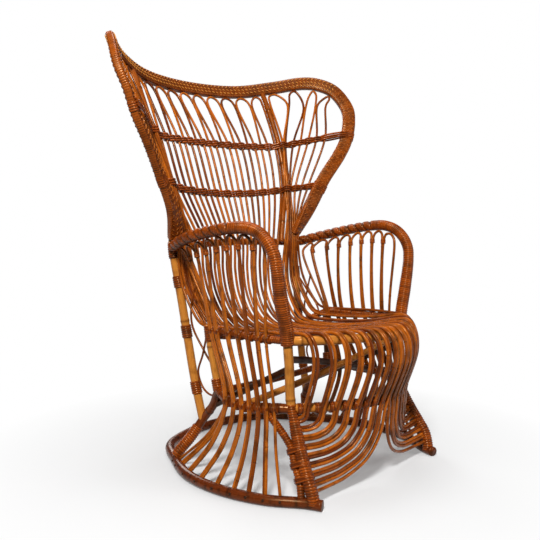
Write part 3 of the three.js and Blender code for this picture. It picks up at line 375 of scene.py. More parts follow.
# Cross curves of the back
UPPER_SHARES = [
    (0, 0.622, 0.542), (0.282, 0.589, 0.544), (0.533, 0.501, 0.556), (0.714, 0.267, 0.596),
    (0.885, 0.032, 0.634),
]
LOWER_SHARES = [
    (0, 0.457, 0.263), (0.262, 0.437, 0.272), (0.497, 0.378, 0.295), (0.604, 0.267, 0.311),
    (0.674, 0.194, 0.321),
]
UPPER_BUNDLE_SHARES = [
    (0.64, 0.77), (0.88, 0.47), (1.41, 0), (3.03, 0), (4.56, 0), (6.19, 0), (7.94, 0), (9.81, 0),
]
LOWER_BUNDLE_SHARES = [
    (-0.28, 0.96), (0.21, 0.98), (0.64, 0.77), (0.93, 0.37), (1.26, 0), (2.25, 0), (3.56, 0), (4.94, 0),
]
FOOT_BUNDLE_SHARES = [
    (0.72, 0.88), (1, 0.42), (1.28, 0), (1.73, 0), (2.22, 0), (2.72, 0), (3.24, 0), (3.8, 0),
]


class Cross:
    """A cross curve of the back with the place of the inner pole and of the bundled canes."""

    def __init__(self, index, shares, pole_share, bundle):
        self.index = index
        self.line = Line(places_between(crown_foot, crown_tip, shares))
        self.pole = self.line.length * pole_share
        self.bundle = bundle
        self.pitch = (self.pole - POLE_SHIFT) / (CENTRAL_LEGS - 0.5)
        self.behind = None

    def facing(self, length, down):
        return unit(np.cross(self.line.tangent(length), down))


upper = Cross(1, UPPER_SHARES, 0.54, UPPER_BUNDLE_SHARES)
lower = Cross(2, LOWER_SHARES, 0.714, LOWER_BUNDLE_SHARES)

# Levels of the lower back and the seat: depth, rise and dip in the middle and at the side
SEAT_LEVEL_SHARES = [
    ((1.024, 1, 0), (0.953, 0.964, 0), 0, 2),
    ((1.017, 0.6, 0), (0.941, 0.747, 0), 0.17, 2),
    ((0.976, 0.267, 0), (0.905, 0.489, 0), 0.38, 2),
    ((0.882, 0, 0), (0.816, 0.213, 0), 0.58, 2),
    ((0.745, 0, 0.82), (0.726, 0.058, 0), 0.74, 4),
    ((0.508, 0, 1), (0.532, 0.053, 0), 0.88, 4),
    ((0.13, 0, 0.5), (0.225, 0.076, 0), 0.96, 4),
]
ARM_POLE_SHARE = 0.728
arm_pole_x = JOINT_HALF_WIDTH * ARM_POLE_SHARE


def across_arms(cane):
    if cane < CENTRAL_LEGS:
        return cane * (arm_pole_x - POLE_SHIFT) / (CENTRAL_LEGS - 0.5)
    return arm_pole_x + BUNDLE_RADIUS + (cane - CENTRAL_LEGS - 0.5) * WING_CANE_PITCH


def pair_of(cane):
    return math.floor((cane + 0.5) / 2)


def across_front(cane):
    pair = pair_of(cane)
    middle = FRONT_PAIR_PITCH * pair + FRONT_PAIR_SPREAD * (pair / SPREAD_PAIR) ** 4
    return middle + (cane - 2 * pair) * CANE_PITCH


def seat_point(level, x):
    middle, side, _, power = level
    shares = np.power(abs(x) / JOINT_HALF_WIDTH, (2, power, power))
    depth, rise, dip = mix(np.array(middle), np.array(side), shares)
    return vec(x, mix(POST_DEPTH, JOINT_DEPTH, depth), mix(SEAT_HEIGHT, JOINT_HEIGHT, rise) - dip * SEAT_DIP)


def on_cross(cross, cane):
    if cane < CENTRAL_LEGS:
        return cross.line.point(cane * cross.pitch)
    out, behind = cross.bundle[int(cane - CENTRAL_LEGS)]
    return cross.line.point(cross.pole + out * BUNDLE_RADIUS) + cross.behind * behind * BUNDLE_RADIUS


pole_foot_point = seat_point(SEAT_LEVEL_SHARES[0], arm_pole_x)
pole_stops = [
    shoulder(CENTRAL_LOOPS, 0), upper.line.point(upper.pole), lower.line.point(lower.pole), pole_foot_point,
]
upper.behind = -upper.facing(upper.pole, pole_stops[2] - pole_stops[0])
lower.behind = -lower.facing(lower.pole, pole_stops[3] - pole_stops[1])
pole_middle = (pole_stops[2] + pole_foot_point) / 2
reach_middle = (
    lower.line.point(lower.pole + BUNDLE_RADIUS)
    + seat_point(SEAT_LEVEL_SHARES[0], arm_pole_x + BUNDLE_RADIUS)
) / 2
out_middle = unit(reach_middle - pole_middle)


def bundle_middle(cane):
    out, behind = FOOT_BUNDLE_SHARES[int(cane - CENTRAL_LEGS)]
    return pole_middle + out_middle * out * BUNDLE_RADIUS + lower.behind * behind * BUNDLE_RADIUS


def bowed_depth(x, half_width, bow):
    return POST_DEPTH - bow * (1 - (x / half_width) ** 2)


def slant(x, half_width, bow):
    return math.hypot(1, 2 * bow * x / half_width ** 2)


RAIL_TO_CANE = FRONT_RAIL_RADIUS + CLEARANCE + CANE_RADIUS
ROLL_SHARES = [(0.32, 1.1, 0, 0), (-0.74, 0.88, 0, 0), (0, 0, -0.8, -0.2), (0, 0, -1, -1.5)]


def roll_points(x):
    rail = bowed_depth(x, POST_HALF_WIDTH, SEAT_BOW)
    reach = RAIL_TO_CANE * slant(x, POST_HALF_WIDTH, SEAT_BOW)
    return [
        vec(x, rail + over * reach + ahead * ROLL_BULGE, SEAT_HEIGHT + up * RAIL_TO_CANE + out * ROLL_BULGE)
        for over, up, ahead, out in ROLL_SHARES
    ]


SKIRT_SHARES = [
    (0.02, 0.15, 0.15), (0.05, 0.5, 0.5), (0.2, 0.82, 0.8), (0.47, 1, 1), (0.76, 1.03, 0.7), (1, 1, 0),
]
LANDING_TOP_SHARE = 0.12
LANDING_END_SHARE = 0.9
LANDING_PITCH_SHARE = 1.12  # of the canes' pitch, between the two of a pair on the strut
OUTERMOST = 2 * RIM_LOOPS - 1.5
strut = Line([post_waist, *places_between(post_waist, front_foot, STRUT_SHARES)])


def skirt_points(cane):
    x = across_front(cane)
    reach = RAIL_TO_CANE * slant(x, WAIST_HALF_WIDTH, WAIST_BOW)
    waist = vec(x, bowed_depth(x, WAIST_HALF_WIDTH, WAIST_BOW) - reach, WAIST_HEIGHT)
    pair = pair_of(cane)
    order = 1 - pair / pair_of(OUTERMOST)
    beside = (2 * pair - cane) * CANE_PITCH * LANDING_PITCH_SHARE
    landing = strut.point(strut.length * mix(LANDING_TOP_SHARE, LANDING_END_SHARE, order) + beside)
    return [waist] + [
        between(waist, landing, (out, out, down)) + vec(0, bow * order * SKIRT_BOW, 0)
        for out, down, bow in SKIRT_SHARES
    ]


def seat_and_front(cane):
    seat = [
        seat_point(level, mix(across_arms(cane), across_front(cane), level[2])) for level in SEAT_LEVEL_SHARES
    ]
    if cane > OUTERMOST:
        return seat + [vec(POST_HALF_WIDTH, POST_DEPTH, SEAT_HEIGHT + RAIL_TO_CANE)]
    return seat + roll_points(across_front(cane)) + skirt_points(cane)


def arch_points(start, end, apex):
    centre = (start + end) / 2
    across = (end - start) / 2
    rise = apex - centre
    turns = (0.75, 0.5, 0.25)
    return [centre + across * math.cos(t * math.pi) + rise * math.sin(t * math.pi) for t in turns]


def shoulder_shift(boundary):
    return POLE_SHIFT if boundary == CENTRAL_LOOPS else CANE_PITCH / 2


def loop_top(loop):
    start = shoulder(loop - 1, shoulder_shift(loop - 1))
    end = shoulder(loop, -shoulder_shift(loop))
    length = (boundary_length(loop - 1) + boundary_length(loop)) / 2
    apex = rim_inner(rim_station(length), CANE_RADIUS + CLEARANCE)
    return [start, *arch_points(start, end, apex), end]


def leg(cane):
    middle = [bundle_middle(cane)] if cane > CENTRAL_LEGS else []
    return [on_cross(upper, cane), on_cross(lower, cane), *middle, *seat_and_front(cane)]


def loop_points(loop):
    first = 2 * loop - 1.5
    return leg(first)[::-1] + loop_top(loop) + leg(first + 1)


inner_pole_points = [
    rim_inner(rim_station(boundary_length(CENTRAL_LOOPS)), -RIM_WIDTH / 2),
    *pole_stops[:3], pole_middle, pole_foot_point,
]


BACK_RAIL_LEAN = 1.08  # lengthens the way behind the canes, which lean there


def back_rail_points():
    behind = vec(0, (BACK_RAIL_RADIUS + CLEARANCE + CANE_RADIUS) * BACK_RAIL_LEAN, 0)
    places = np.linspace(-JOINT_HALF_WIDTH, JOINT_HALF_WIDTH, 13)
    return [seat_point(SEAT_LEVEL_SHARES[0], x) + behind for x in places]


def bowed_rail(half_width, bow, height):
    return [vec(x, bowed_depth(x, half_width, bow), height) for x in np.linspace(-half_width, half_width, 11)]


side_rail_points = places_between(
    post_seat, seat_corner, [(0, 0, 0), (1.6, 0.2, 0), (2.2, 0.5, 0), (1.6, 0.8, 0), (1, 1, 0)],
)


def rear_seat_rail_points():
    reach = SEAT_RAIL_RADIUS + CLEARANCE + CANE_RADIUS
    under = vec(0, 0.36 * reach, -1.06 * reach)
    shares = (-0.8, -0.5, -0.2, 0.2, 0.5, 0.8)
    middle = [seat_point(SEAT_LEVEL_SHARES[4], share * SEAT_REAR_HALF_WIDTH) + under for share in shares]
    return mirrored([seat_corner], -1) + middle + [seat_corner]


REAR_WAIST_BOW = 20
rear_waist_points = [
    vec(
        x * rear_pole_foot[0],
        rear_pole_foot[1] + REAR_WAIST_BOW * (1 - x ** 2),
        mix(WAIST_REAR_HEIGHT, rear_pole_foot[2], x ** 2),
    )
    for x in (-1, -0.5, 0, 0.5, 1)
]

CROSS_BRACE_STATION = 3.15
FOOT_BRACE_TOP_STATION = 2.1
FOOT_BRACE_SHARES = (0.42, 0.6, 0.8)
cross_brace_start = Curve(side_pole_points).at(CROSS_BRACE_STATION)
cross_brace_end = between(post_seat, post_waist, (0.4, 0, 0.27)) * (-1, 1, 1)


def cross_brace_points(turn):
    over = unit(vec(0, 1, 1)) * turn * (BRACE_RADIUS + CLEARANCE / 2)
    return [
        mix(cross_brace_start, cross_brace_end, share) + over * math.sin(share * math.pi)
        for share in (0, 0.25, 0.5, 0.75, 1)
    ]


side_brace_start = side_pole_points[6] - vec(5, 0, 0)
side_brace_end = between(post_seat, post_waist, (0.4, 0, 0.41))
side_brace_points = [side_brace_start, (side_brace_start + side_brace_end) / 2, side_brace_end]
behind_strut = unit(vec(0.3, 1, 0.1)) * (FOOT_RADIUS + 2 * CLEARANCE + FOOT_BRACE_RADIUS)
foot_brace_points = [
    Curve(side_pole_points).at(FOOT_BRACE_TOP_STATION),
    *[strut.point(strut.length * share) + behind_strut for share in FOOT_BRACE_SHARES],
    on_hoop(FOOT_BRACE_STATION),
]

# Arm panels. Each place: arm share, seat share or order over the rail, waist share, hoop station
ARM_PLACES = [
    (0.09, None, 1.9, 0.536, 4.84), (0.167, None, 3.5, 0.513, 4.55), (0.292, 0.6, None, 0.426, 4.05),
    (0.401, 0.546, None, 0.343, 3.57), (0.508, 0.442, None, 0.272, 3.08), (0.608, 0.35, None, 0.213, 2.65),
    (0.71, 0.267, None, 0.154, 2.33), (0.82, 0.189, None, 0.106, 1.98), (0.925, 0.125, None, 0.059, 1.62),
]
OVER_RAIL_TURNS = (math.pi / 4, -math.pi / 12)
ARM_LAST = len(ARM_PLACES) - 1
ARM_TOUCH_TURN = math.pi / 6
arm_line = Line(arm_points[: len(ARM_SHARES) - 2])
arm_drop = ARM_RADIUS + CLEARANCE + ARM_CANE_RADIUS
side_rail_line = list(Curve(side_rail_points).at(np.linspace(0, 4, 17)))
side_pole_line = list(Curve(side_pole_points).at(np.linspace(0, 10, 41)))
rear_rail_line = list(Curve(rear_seat_rail_points()).at(np.linspace(0, 7, 29)))


def seat_places(seat_share, over_rail):
    if over_rail:
        x = seat_corner[0] - REAR_POLE_RADIUS - CLEARANCE - ARM_CANE_RADIUS
        rail = crossing(rear_rail_line, 0, x)
        reach = SEAT_RAIL_RADIUS + CLEARANCE + ARM_CANE_RADIUS + (over_rail - 1) * ARM_CANE_PITCH
        return [
            vec(x, rail[1] - reach * math.cos(turn), rail[2] + reach * math.sin(turn))
            for turn in OVER_RAIL_TURNS
        ]
    depth = mix(POST_DEPTH, JOINT_DEPTH, seat_share)
    rail = crossing(side_rail_line, 1, depth)
    return [vec(rail[0] + SEAT_RAIL_RADIUS + CLEARANCE + ARM_CANE_RADIUS, depth, SEAT_HEIGHT)]


def waist_place(waist_share, over_rail):
    depth = mix(POST_DEPTH, JOINT_DEPTH, waist_share)
    pole = crossing(side_pole_line, 1, depth)
    beside = crossing(side_pole_line, 1, depth - SIDE_POLE_RADIUS)
    slope = (pole[0] - beside[0]) / (pole[1] - beside[1])
    reach = (SIDE_POLE_RADIUS + CLEARANCE + ARM_CANE_RADIUS) * math.hypot(1, slope)
    return vec(pole[0] + (-reach if over_rail else reach), depth, pole[2])


def place_centre(number):
    arm_share, seat_share, over_rail, waist_share, station = ARM_PLACES[number]
    arm = arm_line.point(arm_line.length * arm_share)
    inset = mix(ARM_REAR_INSET, ARM_FRONT_INSET, arm_share)
    top = arm - vec(inset, 0, arm_drop + ARM_ARCH_RISE)
    waist = waist_place(waist_share, over_rail)
    landing = on_hoop(station)
    flare = [between(waist, landing, (0.3, 0.3, 0.5)), landing]
    return [top, *seat_places(seat_share, over_rail), waist, *flare]


def place_leg(number, shift):
    centre = place_centre(number)
    last = len(centre) - 1
    return [
        point + unit(np.cross(vec(1, 0, 0), centre[min(i + 1, last)] - centre[max(i - 1, 0)])) * shift
        for i, point in enumerate(centre)
    ]


def arm_loop(loop):
    rear = place_leg(loop - 1, 0 if loop == 1 else -ARM_CANE_PITCH / 2)
    front = place_leg(loop, 0 if loop == ARM_LAST else ARM_CANE_PITCH / 2)
    arm = crossing(arm_points, 1, (rear[0][1] + front[0][1]) / 2)
    apex = arm - vec(arm_drop * math.sin(ARM_TOUCH_TURN), 0, arm_drop * math.cos(ARM_TOUCH_TURN))
    return rear[::-1] + arch_points(rear[0], front[0], apex) + front


# Woven bands
def cane_path(cane):
    loop = math.ceil(cane / 2)
    top = loop_top(loop)
    return [top[0] if cane < 2 * loop - 1 else top[-1], *leg(cane)[:3]]


def strand_stops(cross, side):
    """Place, way down, way to the front and offset of one strand at each cane it passes."""
    stops = []

    def stop(path, length, radius, turn, slack=STRAND_SLACK):
        down = unit(path[cross.index + 1] - path[cross.index - 1])
        reach = side * turn * (radius + STRAND_THICKNESS / 2 + slack)
        stops.append((path[cross.index], down, cross.facing(length, down), reach))

    for i in range(CENTRAL_LEGS):
        stop(cane_path(i + 0.5), (i + 0.5) * cross.pitch, CANE_RADIUS, (-1) ** i)
    group = (-1) ** (CENTRAL_LEGS - 1)
    front = side * group > 0
    if front or cross.bundle[0][0] > 0:
        stop(pole_stops, cross.pole, INNER_POLE_RADIUS, group)
    turn = group
    for i, (out, behind) in enumerate(cross.bundle):
        if behind > 0 and front:
            continue
        slack = BUNDLE_SLACK if turn == group else STRAND_SLACK
        stop(cane_path(CENTRAL_LEGS + i + 0.5), cross.pole + out * BUNDLE_RADIUS, CANE_RADIUS, turn, slack)
        if behind == 0:
            turn = -turn
    beyond = cross.line.tangent(cross.line.length) * RIM_WIDTH / 2
    _, down, facing, _ = stops[-1]
    return stops + [(cross.line.point(cross.line.length) + beyond, down, facing, 0)]


# Thin cane between rear leg and arm canes
THIN_CANE_SHARES = [
    (0.2, 0.8, 0), (0.32, 0, 1), (0.49, -0.5, 0), (0.68, 0, -1), (0.84, 0.66, 0), (0.95, 0.5, 0),
]
THIN_CANE_END_SHARE = 0.985


def thin_cane_points():
    inner = place_centre(0)[: 2 + len(OVER_RAIL_TURNS)]
    top, waist = inner[0], inner[-1]

    def place(down, out, lift):
        height = mix(top[2], waist[2] - 2 * SIDE_POLE_RADIUS, down)
        a = crossing(rear_leg_points, 2, height)
        b = crossing(inner, 2, max(height, waist[2]))
        gap = vec(b[0], b[1], height) - a
        return a + gap * (1 + out) / 2 + vec(lift * (THIN_CANE_RADIUS + CLEARANCE), 0, 0)

    halves = [[place(down, s * out, s * lift) for down, out, lift in THIN_CANE_SHARES] for s in (1, -1)]
    return halves[0] + [place(THIN_CANE_END_SHARE, 0, 0)] + halves[1][::-1]


# Meshes
CENTRE_SHIFT = vec(0, -358.62, 0)  # brings the middle of the box to the origin, as in the solids
PER_METRE = 1000
PEEL_PITCH = 6.2  # width of one turn of cane peel
PEEL_RAISE = 1.6  # height of a turn above its grooves
PEEL_RINGS = 6  # of the mesh, in each turn
SHOWN_CANE_RADIUS = 4  # a little over the solids', which leave a gap between the canes
SHOWN_SKIRT_CANE_RADIUS = 4.4
SHOWN_ARM_CANE_RADIUS = 4
SHOWN_INNER_POLE_RADIUS = 9
NODE_SPACING = (170, 330)  # least and most between two nodes of a cane
NODE_RINGS = (-0.9, -0.35, 0, 0.35, 0.9)  # of the mesh, in radii from a node
NODE_REACH = 0.6  # of the radius
NODE_MARGINS = (20, 10)  # kept free at the start and at the end of a cane
NODE_SWELL = 0.1  # of the radius
LEAST_STEP = 0.05  # between two rings of a mesh
GRAIN_SPREAD = 5000  # over which canes start at unlike places of the grain
TURN_GRAIN_STEP = 40  # from the grain of one turn of peel to the next
TURN_FLAT = 0.4  # share of a turn that is flat
TURN_ROUNDING = 1.2
TURN_TONES = 0.6  # spread of the tones of the turns
FURROW_FLAT = 0.5
BINDING_RAISE = 3.2
TIE_LENGTH = 15
TIE_SIDE_RAISE = 2.2
TIE_END_RAISE = 1.8
UP = vec(0, 0, 1)
rng = random.Random(7)


def moving_frames(tangents):
    """Two directions across a path at each place, turned as little as possible from one to the next."""
    start = UP if abs(tangents[0][2]) < 0.9 else vec(1, 0, 0)
    normal = unit(start - start.dot(tangents[0]) * tangents[0])
    normals = np.empty_like(tangents)
    for i, tangent in enumerate(tangents):
        normal = normal - normal.dot(tangent) * tangent
        normal = normal / math.sqrt(normal.dot(normal))
        normals[i] = normal
    return normals, np.cross(tangents, normals)


def rounded_rows(line, lengths, radii, sides):
    """Rings of a round rod. radii has a row for each ring, of one value or one for each corner."""
    normals, binormals = moving_frames(line.tangent(lengths))
    angles = np.arange(sides) * 2 * math.pi / sides
    cosines, sines = np.cos(angles), np.sin(angles)
    around = normals[:, None] * cosines[:, None] + binormals[:, None] * sines[:, None]
    radii = np.broadcast_to(radii, (len(lengths), sides))
    along = np.broadcast_to(lengths[:, None], radii.shape)
    rings = line.point(lengths)[:, None] + around * radii[..., None]
    return rings, np.stack([radii * cosines, radii * sines, along], axis=-1)


def grooves(turns, flat):
    """Depth of the groove between two turns, from 0 on the flat share of a turn to 1 at its edge."""
    return np.clip((np.abs(2 * (turns % 1) - 1) - flat) / (1 - flat), 0, 1)


def scatter(number, shift=0):
    """A value from 0 to 1 for each number, unlike that of the next number."""
    return (np.sin(number * 12.9898 + shift) * 43758.5453) % 1


def linked(name, data):
    made = bpy.data.objects.new(name, data)
    bpy.context.collection.objects.link(made)
    return made


class Mesh:
    """Collects rods and bands, in millimetres, with the surface data that the materials read.

    A mesh of the left side mirrors the places that it is given. grain is a place in the rod's own
    directions. marks are the tone, the dark ring of a node and the groove, each from 0 to 1; the
    groove mark darkens the grooves with painted shade.
    """

    def __init__(self, side="", number=""):
        self.suffix = "".join(f"_{part}" for part in (side, number) if part)
        self.turn = vec(SIDES.get(side, 1), 1, 1)
        self.count, self.faces = 0, []
        self.places, self.grain, self.marks = [], [], []

    def grid(self, rings, grain, marks):
        """Adds a closed skin. rings, grain and marks are arrays of ring by corner by values."""
        rows, sides, _ = rings.shape
        index = np.arange(rows * sides).reshape(rows, sides) + self.count
        turned = np.roll(index, -1, axis=1)
        quads = np.stack([index[:-1], turned[:-1], turned[1:], index[1:]], axis=-1).reshape(-1, 4)
        self.faces += quads.tolist() + [index[0][::-1].tolist(), index[-1].tolist()]
        for kept, values in ((self.places, rings), (self.grain, grain), (self.marks, marks)):
            kept.append(values.reshape(-1, 3))
        self.count += rows * sides
        return self

    def build(self, name, material, slot, cad_node=None):
        """Makes the piece. It takes the place of a node of the solids, if one is given."""
        name += self.suffix
        mesh = bpy.data.meshes.new(name)
        places = (np.vstack(self.places) + CENTRE_SHIFT) / PER_METRE
        mesh.from_pydata(places.tolist(), [], self.faces)
        for key, values in (("grain", np.vstack(self.grain) / PER_METRE), ("marks", np.vstack(self.marks))):
            mesh.attributes.new(key, "FLOAT_VECTOR", "POINT").data.foreach_set("vector", values.ravel())
        mesh.polygons.foreach_set("use_smooth", [True] * len(mesh.polygons))
        mesh.materials.append(material)
        mesh.update()
        piece = linked(name, mesh)
        if cad_node:
            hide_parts(cad_node + self.suffix)
        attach(piece, "root")

    def cane(self, points, radius, sides=10, step=7, tone=None, swell=NODE_SWELL, spacing=NODE_SPACING):
        """A bare cane or pole. It swells a little at its nodes, which are marked with a dark ring."""
        line = Line(points * self.turn)
        tone = rng.random() ** 1.2 if tone is None else tone
        size = float(np.mean(radius))
        nodes, place = [], rng.uniform(NODE_MARGINS[0], spacing[0])
        while place < line.length - NODE_MARGINS[1]:
            nodes.append(place)
            place += rng.uniform(*spacing)
        lengths = np.arange(0, line.length, step)
        near = [place + reach * size for place in nodes for reach in NODE_RINGS]
        lengths = np.unique(np.clip(np.concatenate([lengths, near, [line.length]]), 0, line.length))
        lengths = lengths[np.concatenate([[True], np.diff(lengths) > LEAST_STEP])]
        ring = np.zeros(len(lengths))
        for place in nodes:
            ring = np.maximum(ring, np.clip(1 - np.abs(lengths - place) / (NODE_REACH * size), 0, 1))
        widths = line.sizes(radius, lengths) * (1 + swell * ring)
        rings, grain = rounded_rows(line, lengths, widths[:, None], sides)
        marks = np.zeros(rings.shape)
        marks[..., 0] = tone
        marks[..., 1] = ring[:, None]
        return self.grid(rings, grain + UP * rng.uniform(0, GRAIN_SPREAD), marks)

    def wound(
        self, points, radii, start=0.0, end=None, pitch=PEEL_PITCH, raise_by=PEEL_RAISE, sides=16,
        tone=0.5, longer=None, stretch=1.0, rope=None,
    ):
        """A pole wound with cane peel, from start to end of its length.

        With a direction as longer, the section is an oval, stretched by that much that way. With a
        rope, given as pitch, starts and depth, coarse slanting furrows run over the winding.
        """
        line = Line(points * self.turn)
        lengths = np.arange(start, line.length if end is None else end, pitch / PEEL_RINGS)
        corners = np.arange(sides)[None] / sides
        turns = lengths[:, None] / pitch + corners
        groove = grooves(turns, TURN_FLAT) ** TURN_ROUNDING
        widths = line.sizes(radii, lengths)[:, None] - raise_by * groove
        if rope:
            rope_pitch, starts, depth = rope
            furrow = grooves(lengths[:, None] / rope_pitch + starts * corners, FURROW_FLAT)
            widths = widths - depth * furrow
            # the furrows also take painted shade, through the groove mark
            groove = np.maximum(groove, furrow)
        widths[[0, -1]] -= raise_by
        if longer is not None:
            ways = [way @ (longer * self.turn) for way in moving_frames(line.tangent(lengths))]
            angles = 2 * math.pi * corners - np.arctan2(ways[1], ways[0])[:, None]
            widths = widths / np.hypot(np.cos(angles) / stretch, np.sin(angles))
        rings, grain = rounded_rows(line, lengths, widths, sides)
        marks = np.zeros(rings.shape)
        marks[..., 0] = np.clip(tone + TURN_TONES * (scatter(np.floor(turns)) - 0.5), 0, 1)
        # the groove mark paints shade into the grooves between turns
        marks[..., 2] = groove
        apart = grain[..., 1] + TURN_GRAIN_STEP * np.floor(turns)
        return self.grid(rings, np.stack([grain[..., 2], grain[..., 0], apart], axis=-1), marks)

    def binding(self, points, radius, share, length, tone):
        """A short binding of peel round a pole, at a share of its length."""
        whole = Line(points).length
        start, end = max(share * whole - length / 2, 0), min(share * whole + length / 2, whole)
        return self.wound(points, radius, start, end, tone=tone)

    def tie(self, pole, beside, along, radius, beside_radius):
        """A short binding of peel round a pole and what lies beside it there."""
        apart = beside - pole
        distance = np.linalg.norm(apart)
        half = (radius + distance + beside_radius) / 2 + TIE_END_RAISE
        centre = pole + apart / distance * (half - radius - TIE_END_RAISE)
        reach = unit(along) * TIE_LENGTH / 2
        wide = radius + TIE_SIDE_RAISE
        look = {"pitch": 4.8, "raise_by": 1.4, "tone": 0.75, "longer": unit(apart), "stretch": half / wide}
        return self.wound([centre - reach, centre, centre + reach], wide, **look)

    def tie_to(self, points, radius, held, samples):
        """A tie round a pole and the arm cane that is held beside it, where they are nearest."""
        curve = Curve(points)
        stations = np.linspace(0, curve.last, samples)
        station = stations[np.argmin(np.linalg.norm(curve.at(stations) - held, axis=1))]
        return self.tie(curve.at(station), held, curve.tangent(station), radius, SHOWN_ARM_CANE_RADIUS)


def share_at_height(points, height):
    """Share of a line's length at which it passes a height."""
    line = Line(points)
    lengths = np.linspace(0, line.length, 400)
    return float(lengths[np.argmin(np.abs(line.point(lengths)[:, 2] - height))] / line.length)


# Materials
def node(tree, kind, inputs, **settings):
    """A new node. inputs gives the link or the value for each of its sockets."""
    made = tree.nodes.new(kind)
    for key, value in settings.items():
        setattr(made, key, value)
    feed(tree, made, inputs)
    return made


def feed(tree, made, inputs):
    for socket, value in inputs.items():
        if isinstance(value, bpy.types.NodeSocket):
            tree.links.new(value, made.inputs[socket])
        else:
            made.inputs[socket].default_value = value


def mixed(tree, factor, a, b):
    return node(tree, "ShaderNodeMix", {0: factor, 6: a, 7: b}, data_type="RGBA").outputs[2]


def noise(tree, vector, scale, detail, stretch=(1, 1, 1)):
    sizes = [scale * s for s in stretch]
    place = node(tree, "ShaderNodeMapping", {"Vector": vector, "Scale": sizes}).outputs[0]
    return node(tree, "ShaderNodeTexNoise", {"Vector": place, "Scale": 1, "Detail": detail}).outputs["Fac"]


def ranged(tree, value, low, high, to_low=0, to_high=1):
    """A value stretched from one range to another, and held within it."""
    inputs = {"Value": value, "From Min": low, "From Max": high, "To Min": to_low, "To Max": to_high}
    return node(tree, "ShaderNodeMapRange", inputs).outputs["Result"]


def attribute(tree, name):
    return node(tree, "ShaderNodeAttribute", {}, attribute_name=name).outputs["Vector"]


def place_of(tree):
    return node(tree, "ShaderNodeTexCoord", {}).outputs["Object"]


VARNISH = {
    "Coat Weight": 0.06,
    "Coat Roughness": 0.18,
    "Specular IOR Level": 0.29,
    "Specular Tint": (1, 0.56, 0.22, 1),
}
BUMP = {"Strength": 0.35, "Distance": 0.0004}
# Painted shade: how dark the grooves and furrows are painted, as a share of the dark colour
GROOVE_PAINTED_SHADE = 0.35  # of the dark colour


def cane_material(name, light, deep, dark, rough, blotch=0.75, patch=30):
    """Varnished rattan: long fine streaks, blotches of deeper colour, dark nodes, and painted shade in the
    grooves.
    """
    material = bpy.data.materials.new(name)
    material.use_nodes = True
    tree = material.node_tree
    grain = attribute(tree, "grain")
    tone, ring, groove = node(tree, "ShaderNodeSeparateXYZ", {0: attribute(tree, "marks")}).outputs
    streaks = noise(tree, grain, 900, 4, (1, 1, 0.035))
    patches = noise(tree, place_of(tree), patch, 3)
    flecks = noise(tree, grain, 420, 2, (1, 1, 0.4))
    colour = mixed(tree, tone, (*light, 1), (*deep, 1))
    for mask, low, high, strength, paint in (
        (streaks, 0.45, 0.72, 0.85, deep),
        (patches, 0.48, 0.75, blotch, dark),
        (flecks, 0.66, 0.78, 0.5, dark),
        (ring, 0.25, 1, 0.75, dark),
        # painted shade in the grooves between turns of peel, plaits and rope furrows
        (groove, 0.1, 1, 0.85, tuple(GROOVE_PAINTED_SHADE * c for c in dark)),
    ):
        colour = mixed(tree, ranged(tree, mask, low, high, 0, strength), colour, (*paint, 1))
    feed(tree, tree.nodes["Principled BSDF"], {
        **VARNISH,
        "Base Color": colour,
        "Roughness": ranged(tree, patches, 0.3, 0.7, rough - 0.08, rough + 0.14),
        "Normal": node(tree, "ShaderNodeBump", {**BUMP, "Height": streaks}).outputs[0],
    })
    return material


LOOKS = {  # light, deep and dark colour, roughness, strength and scale of the blotches
    "cane": ((0.46, 0.112, 0.007), (0.105, 0.015, 0.002), (0.014, 0.003, 0.001), 0.27),
    "arm_cane": ((0.46, 0.118, 0.008), (0.12, 0.019, 0.002), (0.017, 0.004, 0.001), 0.25),
    "pole": ((0.6, 0.243, 0.038), (0.36, 0.1, 0.012), (0.079, 0.017, 0.002), 0.3, 0.6),
    "peel": ((0.411, 0.079, 0.005), (0.111, 0.017, 0.002), (0.016, 0.003, 0.001), 0.28),
    "rim": ((0.411, 0.087, 0.006), (0.111, 0.02, 0.002), (0.024, 0.005, 0.001), 0.32, 0.5),
    "stitch": ((0.537, 0.221, 0.04), (0.316, 0.079, 0.008), (0.158, 0.04, 0.006), 0.36, 0.3),
    "foot": ((0.158, 0.028, 0.005), (0.047, 0.009, 0.002), (0.008, 0.002, 0.001), 0.3, 0.95, 60),
    # painted shade: pole colour darkened for the far and under-seat poles, which lie in shadow
    "dark_pole": ((0.047, 0.011, 0.002), (0.02, 0.005, 0.002), (0.008, 0.002, 0.001), 0.45),
    "peg": ((0.024, 0.009, 0.006), (0.016, 0.006, 0.005), (0.008, 0.004, 0.003), 0.45),
}
CANE, ARM_CANE, POLE, PEEL, RIM, STITCH, FOOT, PAINTED_SHADE_POLE, PEG = (
    cane_material(name, *look) for name, look in LOOKS.items()
)

# The rim: a plaited band with wound edges and three rows of stitches on each face
RIM_STEP = 2.0
RIM_AROUND = 40
RIM_SQUARENESS = 0.45
RIM_FACE_SHARE = 0.72  # of half the thickness, from where the face begins
RIM_FACE_BLEND = 0.2
PLAIT_PITCH = 10
PLAIT_ROWS = 5
PLAIT_FLAT = 0.5
ROW_FLAT = 0.7
ROW_DEPTH = 0.7
RIM_TONES = ((0.2, 0.75), (0.6, 0.4), (0.1, 0.35))  # least and spread on wings, crown and edges
COLLAR_LENGTH = 26
COLLAR_STEP = 0.9
COLLAR_PITCH = 6.5
COLLAR_RAISE = 1.8
STITCH_SPACING = 15
STITCH_ROWS = (0.22, 0.5, 0.78)  # shares of the width
STITCH_SLANT = 0.8
STITCH_REACH = 4
CROWN_STITCH = (1.7, 0.1)  # radius and tone
WING_STITCH = (1.1, 0.9)
STITCH_SINK = 0.4  # of the ends, below the face
STITCH_RISE = 0.9  # of the middle, above the ends

